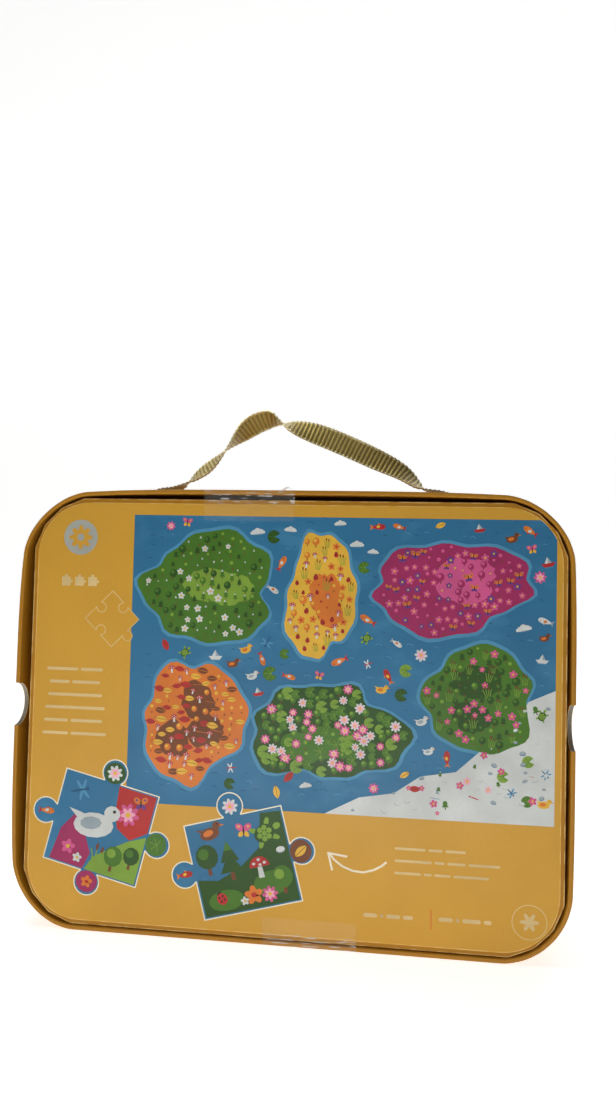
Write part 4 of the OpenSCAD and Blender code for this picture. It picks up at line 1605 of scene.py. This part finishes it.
def build_stage():
    """Pale floor that runs up into a backdrop, soft light and the camera."""
    setting = look().stage
    clear_selection()
    bpy.ops.mesh.primitive_plane_add(size=FLOOR_SIZE, location=(0, 0, 0))
    floor = made("floor")
    pick(floor, "EDGE", lambda edge: all(vertex.co.y > FLOOR_SIZE / 2 - TINY for vertex in edge.verts))
    bpy.ops.mesh.extrude_region_move(TRANSFORM_OT_translate={"value": (0, 0, BACKDROP)})
    leave()
    bevel(floor, lambda edge: len(edge.link_faces) == 2, BACKDROP_BEND, 16)
    shade(floor, 60)
    material, tree, shader = material_of("pale_floor")
    tone = blend_colours(tree, clouds(tree, coordinates(tree), 3), shaded(setting.floor, 0.985), setting.floor)
    tree.links.new(tone, shader.inputs["Base Color"])
    shader.inputs["Roughness"].default_value = 0.85
    shader.inputs["Emission Color"].default_value = (1, 1, 1, 1)
    shader.inputs["Emission Strength"].default_value = setting.glow
    paint(floor, material)
    world = bpy.data.worlds.new("studio")
    world.use_nodes = True
    background = world.node_tree.nodes["Background"]
    background.inputs["Color"].default_value = (1, 1, 1, 1)
    background.inputs["Strength"].default_value = setting.sky
    bpy.context.scene.world = world
    for name, place, aim, size, power in LAMPS:
        bpy.ops.object.light_add(type="AREA", location=place)
        lamp = made(name)
        lamp.data.shape = "RECTANGLE"
        lamp.data.size, lamp.data.size_y = size
        lamp.data.energy = getattr(setting, power)
        lamp.visible_camera = False
        lamp.rotation_euler = (Vector(aim) - Vector(place)).to_track_quat("-Z", "Y").to_euler()
    bpy.ops.object.camera_add()
    camera = made("photo_camera")
    camera.matrix_world = (
        Matrix.Translation(CAMERA_PLACE) @ Matrix.Rotation(CAMERA_TURN, 4, "Z")
        @ Matrix.Rotation(math.pi / 2 + CAMERA_TILT, 4, "X") @ Matrix.Rotation(CAMERA_ROLL, 4, "Z")
    )
    camera.data.lens = setting.lens
    camera.data.sensor_width = 36
    camera.data.clip_start = 0.01
    bpy.context.scene.camera = camera
    bpy.context.scene.view_settings.view_transform = "Standard"


FINISH = {}


def mix_finishes():
    """Makes the materials that several pieces share."""
    box = look().box
    FINISH.update(
        cover=paper_material("cover_paper", box.cover),
        label=paper_material("label_paper", box.label, 0.4, 0.3),
        # Pale paper for folds and cut edges: partly real wear and the paper's core, partly painted highlight.
        worn=wear_and_highlight_material("worn_fold", box.cover, box.worn),
        paper_edge=wear_and_highlight_material("paper_cut_edge", box.label, box.worn),
        board=board_material("greyboard", box.board),
        lining=paper_material("lining_paper", box.lining, 0.7, 0.3),
        tape=tape_material("clear_tape", 0.025),
        # A less clear film that stands as painted highlight along the tape's creases.
        tape_crease=tape_material("tape_crease", 0.3),
        chipboard=board_material("chipboard", look().pieces.board),
        print=puzzle_print_material(),
        water=water_ink(),
    )


# Operators

class PUZZLEBOX_OT_stage(Operator):
    """Set up the pale floor, the soft light and the camera"""
    bl_idname = "puzzle_box.stage"
    bl_label = "Stage"

    def execute(self, context):
        mix_finishes()
        build_stage()
        return {"FINISHED"}


class PUZZLEBOX_OT_lid(Operator):
    """Build the lid: covering paper, board, linings and front label"""
    bl_idname = "puzzle_box.lid"
    bl_label = "Lid"

    def execute(self, context):
        build_lid()
        return {"FINISHED"}


class PUZZLEBOX_OT_tray(Operator):
    """Build the tray: covering paper, boards, linings and back label"""
    bl_idname = "puzzle_box.tray"
    bl_label = "Tray"

    def execute(self, context):
        build_tray()
        return {"FINISHED"}


class PUZZLEBOX_OT_back_print(Operator):
    """Print the back label"""
    bl_idname = "puzzle_box.back_print"
    bl_label = "Back print"

    def execute(self, context):
        build_back_print()
        return {"FINISHED"}


class PUZZLEBOX_OT_front_print(Operator):
    """Print the front label"""
    bl_idname = "puzzle_box.front_print"
    bl_label = "Front print"

    def execute(self, context):
        build_front_print()
        for model in STAMPS_MADE.values():
            remove(model)
        STAMPS_MADE.clear()
        return {"FINISHED"}


class PUZZLEBOX_OT_ribbon(Operator):
    """Weave the ribbon handle through the lid's slits"""
    bl_idname = "puzzle_box.ribbon"
    bl_label = "Ribbon"

    def execute(self, context):
        build_ribbon()
        return {"FINISHED"}


class PUZZLEBOX_OT_tape(Operator):
    """Stick on the two clear tape seals"""
    bl_idname = "puzzle_box.tape"
    bl_label = "Tape seals"

    def execute(self, context):
        build_tape()
        return {"FINISHED"}


class PUZZLEBOX_OT_pieces(Operator):
    """Fill the tray with layers of loose pieces"""
    bl_idname = "puzzle_box.pieces"
    bl_label = "Puzzle pieces"

    def execute(self, context):
        build_pieces()
        return {"FINISHED"}


OPERATORS = (
    PUZZLEBOX_OT_stage, PUZZLEBOX_OT_lid, PUZZLEBOX_OT_tray, PUZZLEBOX_OT_back_print, PUZZLEBOX_OT_front_print,
    PUZZLEBOX_OT_ribbon, PUZZLEBOX_OT_tape, PUZZLEBOX_OT_pieces,
)


class PUZZLEBOX_PT_panel(Panel):
    """Sizes, colours and steps of the puzzle box"""
    bl_idname = "PUZZLEBOX_PT_panel"
    bl_label = "Puzzle box"
    bl_space_type = "VIEW_3D"
    bl_region_type = "UI"
    bl_category = "Puzzle box"

    def draw(self, context):
        for operator in OPERATORS:
            self.layout.operator(operator.bl_idname)
        for group in ("box", "ribbon", "inks", "pieces", "stage"):
            settings = getattr(context.scene.puzzle_box, group)
            column = self.layout.box().column()
            for name in settings.__annotations__:
                column.prop(settings, name)


CLASSES = (
    PUZZLEBOX_PG_box, PUZZLEBOX_PG_ribbon, PUZZLEBOX_PG_inks, PUZZLEBOX_PG_pieces, PUZZLEBOX_PG_stage,
    PUZZLEBOX_PG_all, *OPERATORS, PUZZLEBOX_PT_panel,
)


def register():
    for cls in CLASSES:
        bpy.utils.register_class(cls)
    bpy.types.Scene.puzzle_box = PointerProperty(type=PUZZLEBOX_PG_all)


def unregister():
    del bpy.types.Scene.puzzle_box
    for cls in reversed(CLASSES):
        bpy.utils.unregister_class(cls)


def main():
    register()
    bpy.ops.puzzle_box.stage()
    bpy.ops.puzzle_box.lid()
    bpy.ops.puzzle_box.tray()
    bpy.ops.puzzle_box.back_print()
    bpy.ops.puzzle_box.front_print()
    bpy.ops.puzzle_box.ribbon()
    bpy.ops.puzzle_box.tape()
    bpy.ops.puzzle_box.pieces()
    clear_selection()


if __name__ == "__main__":
    main()
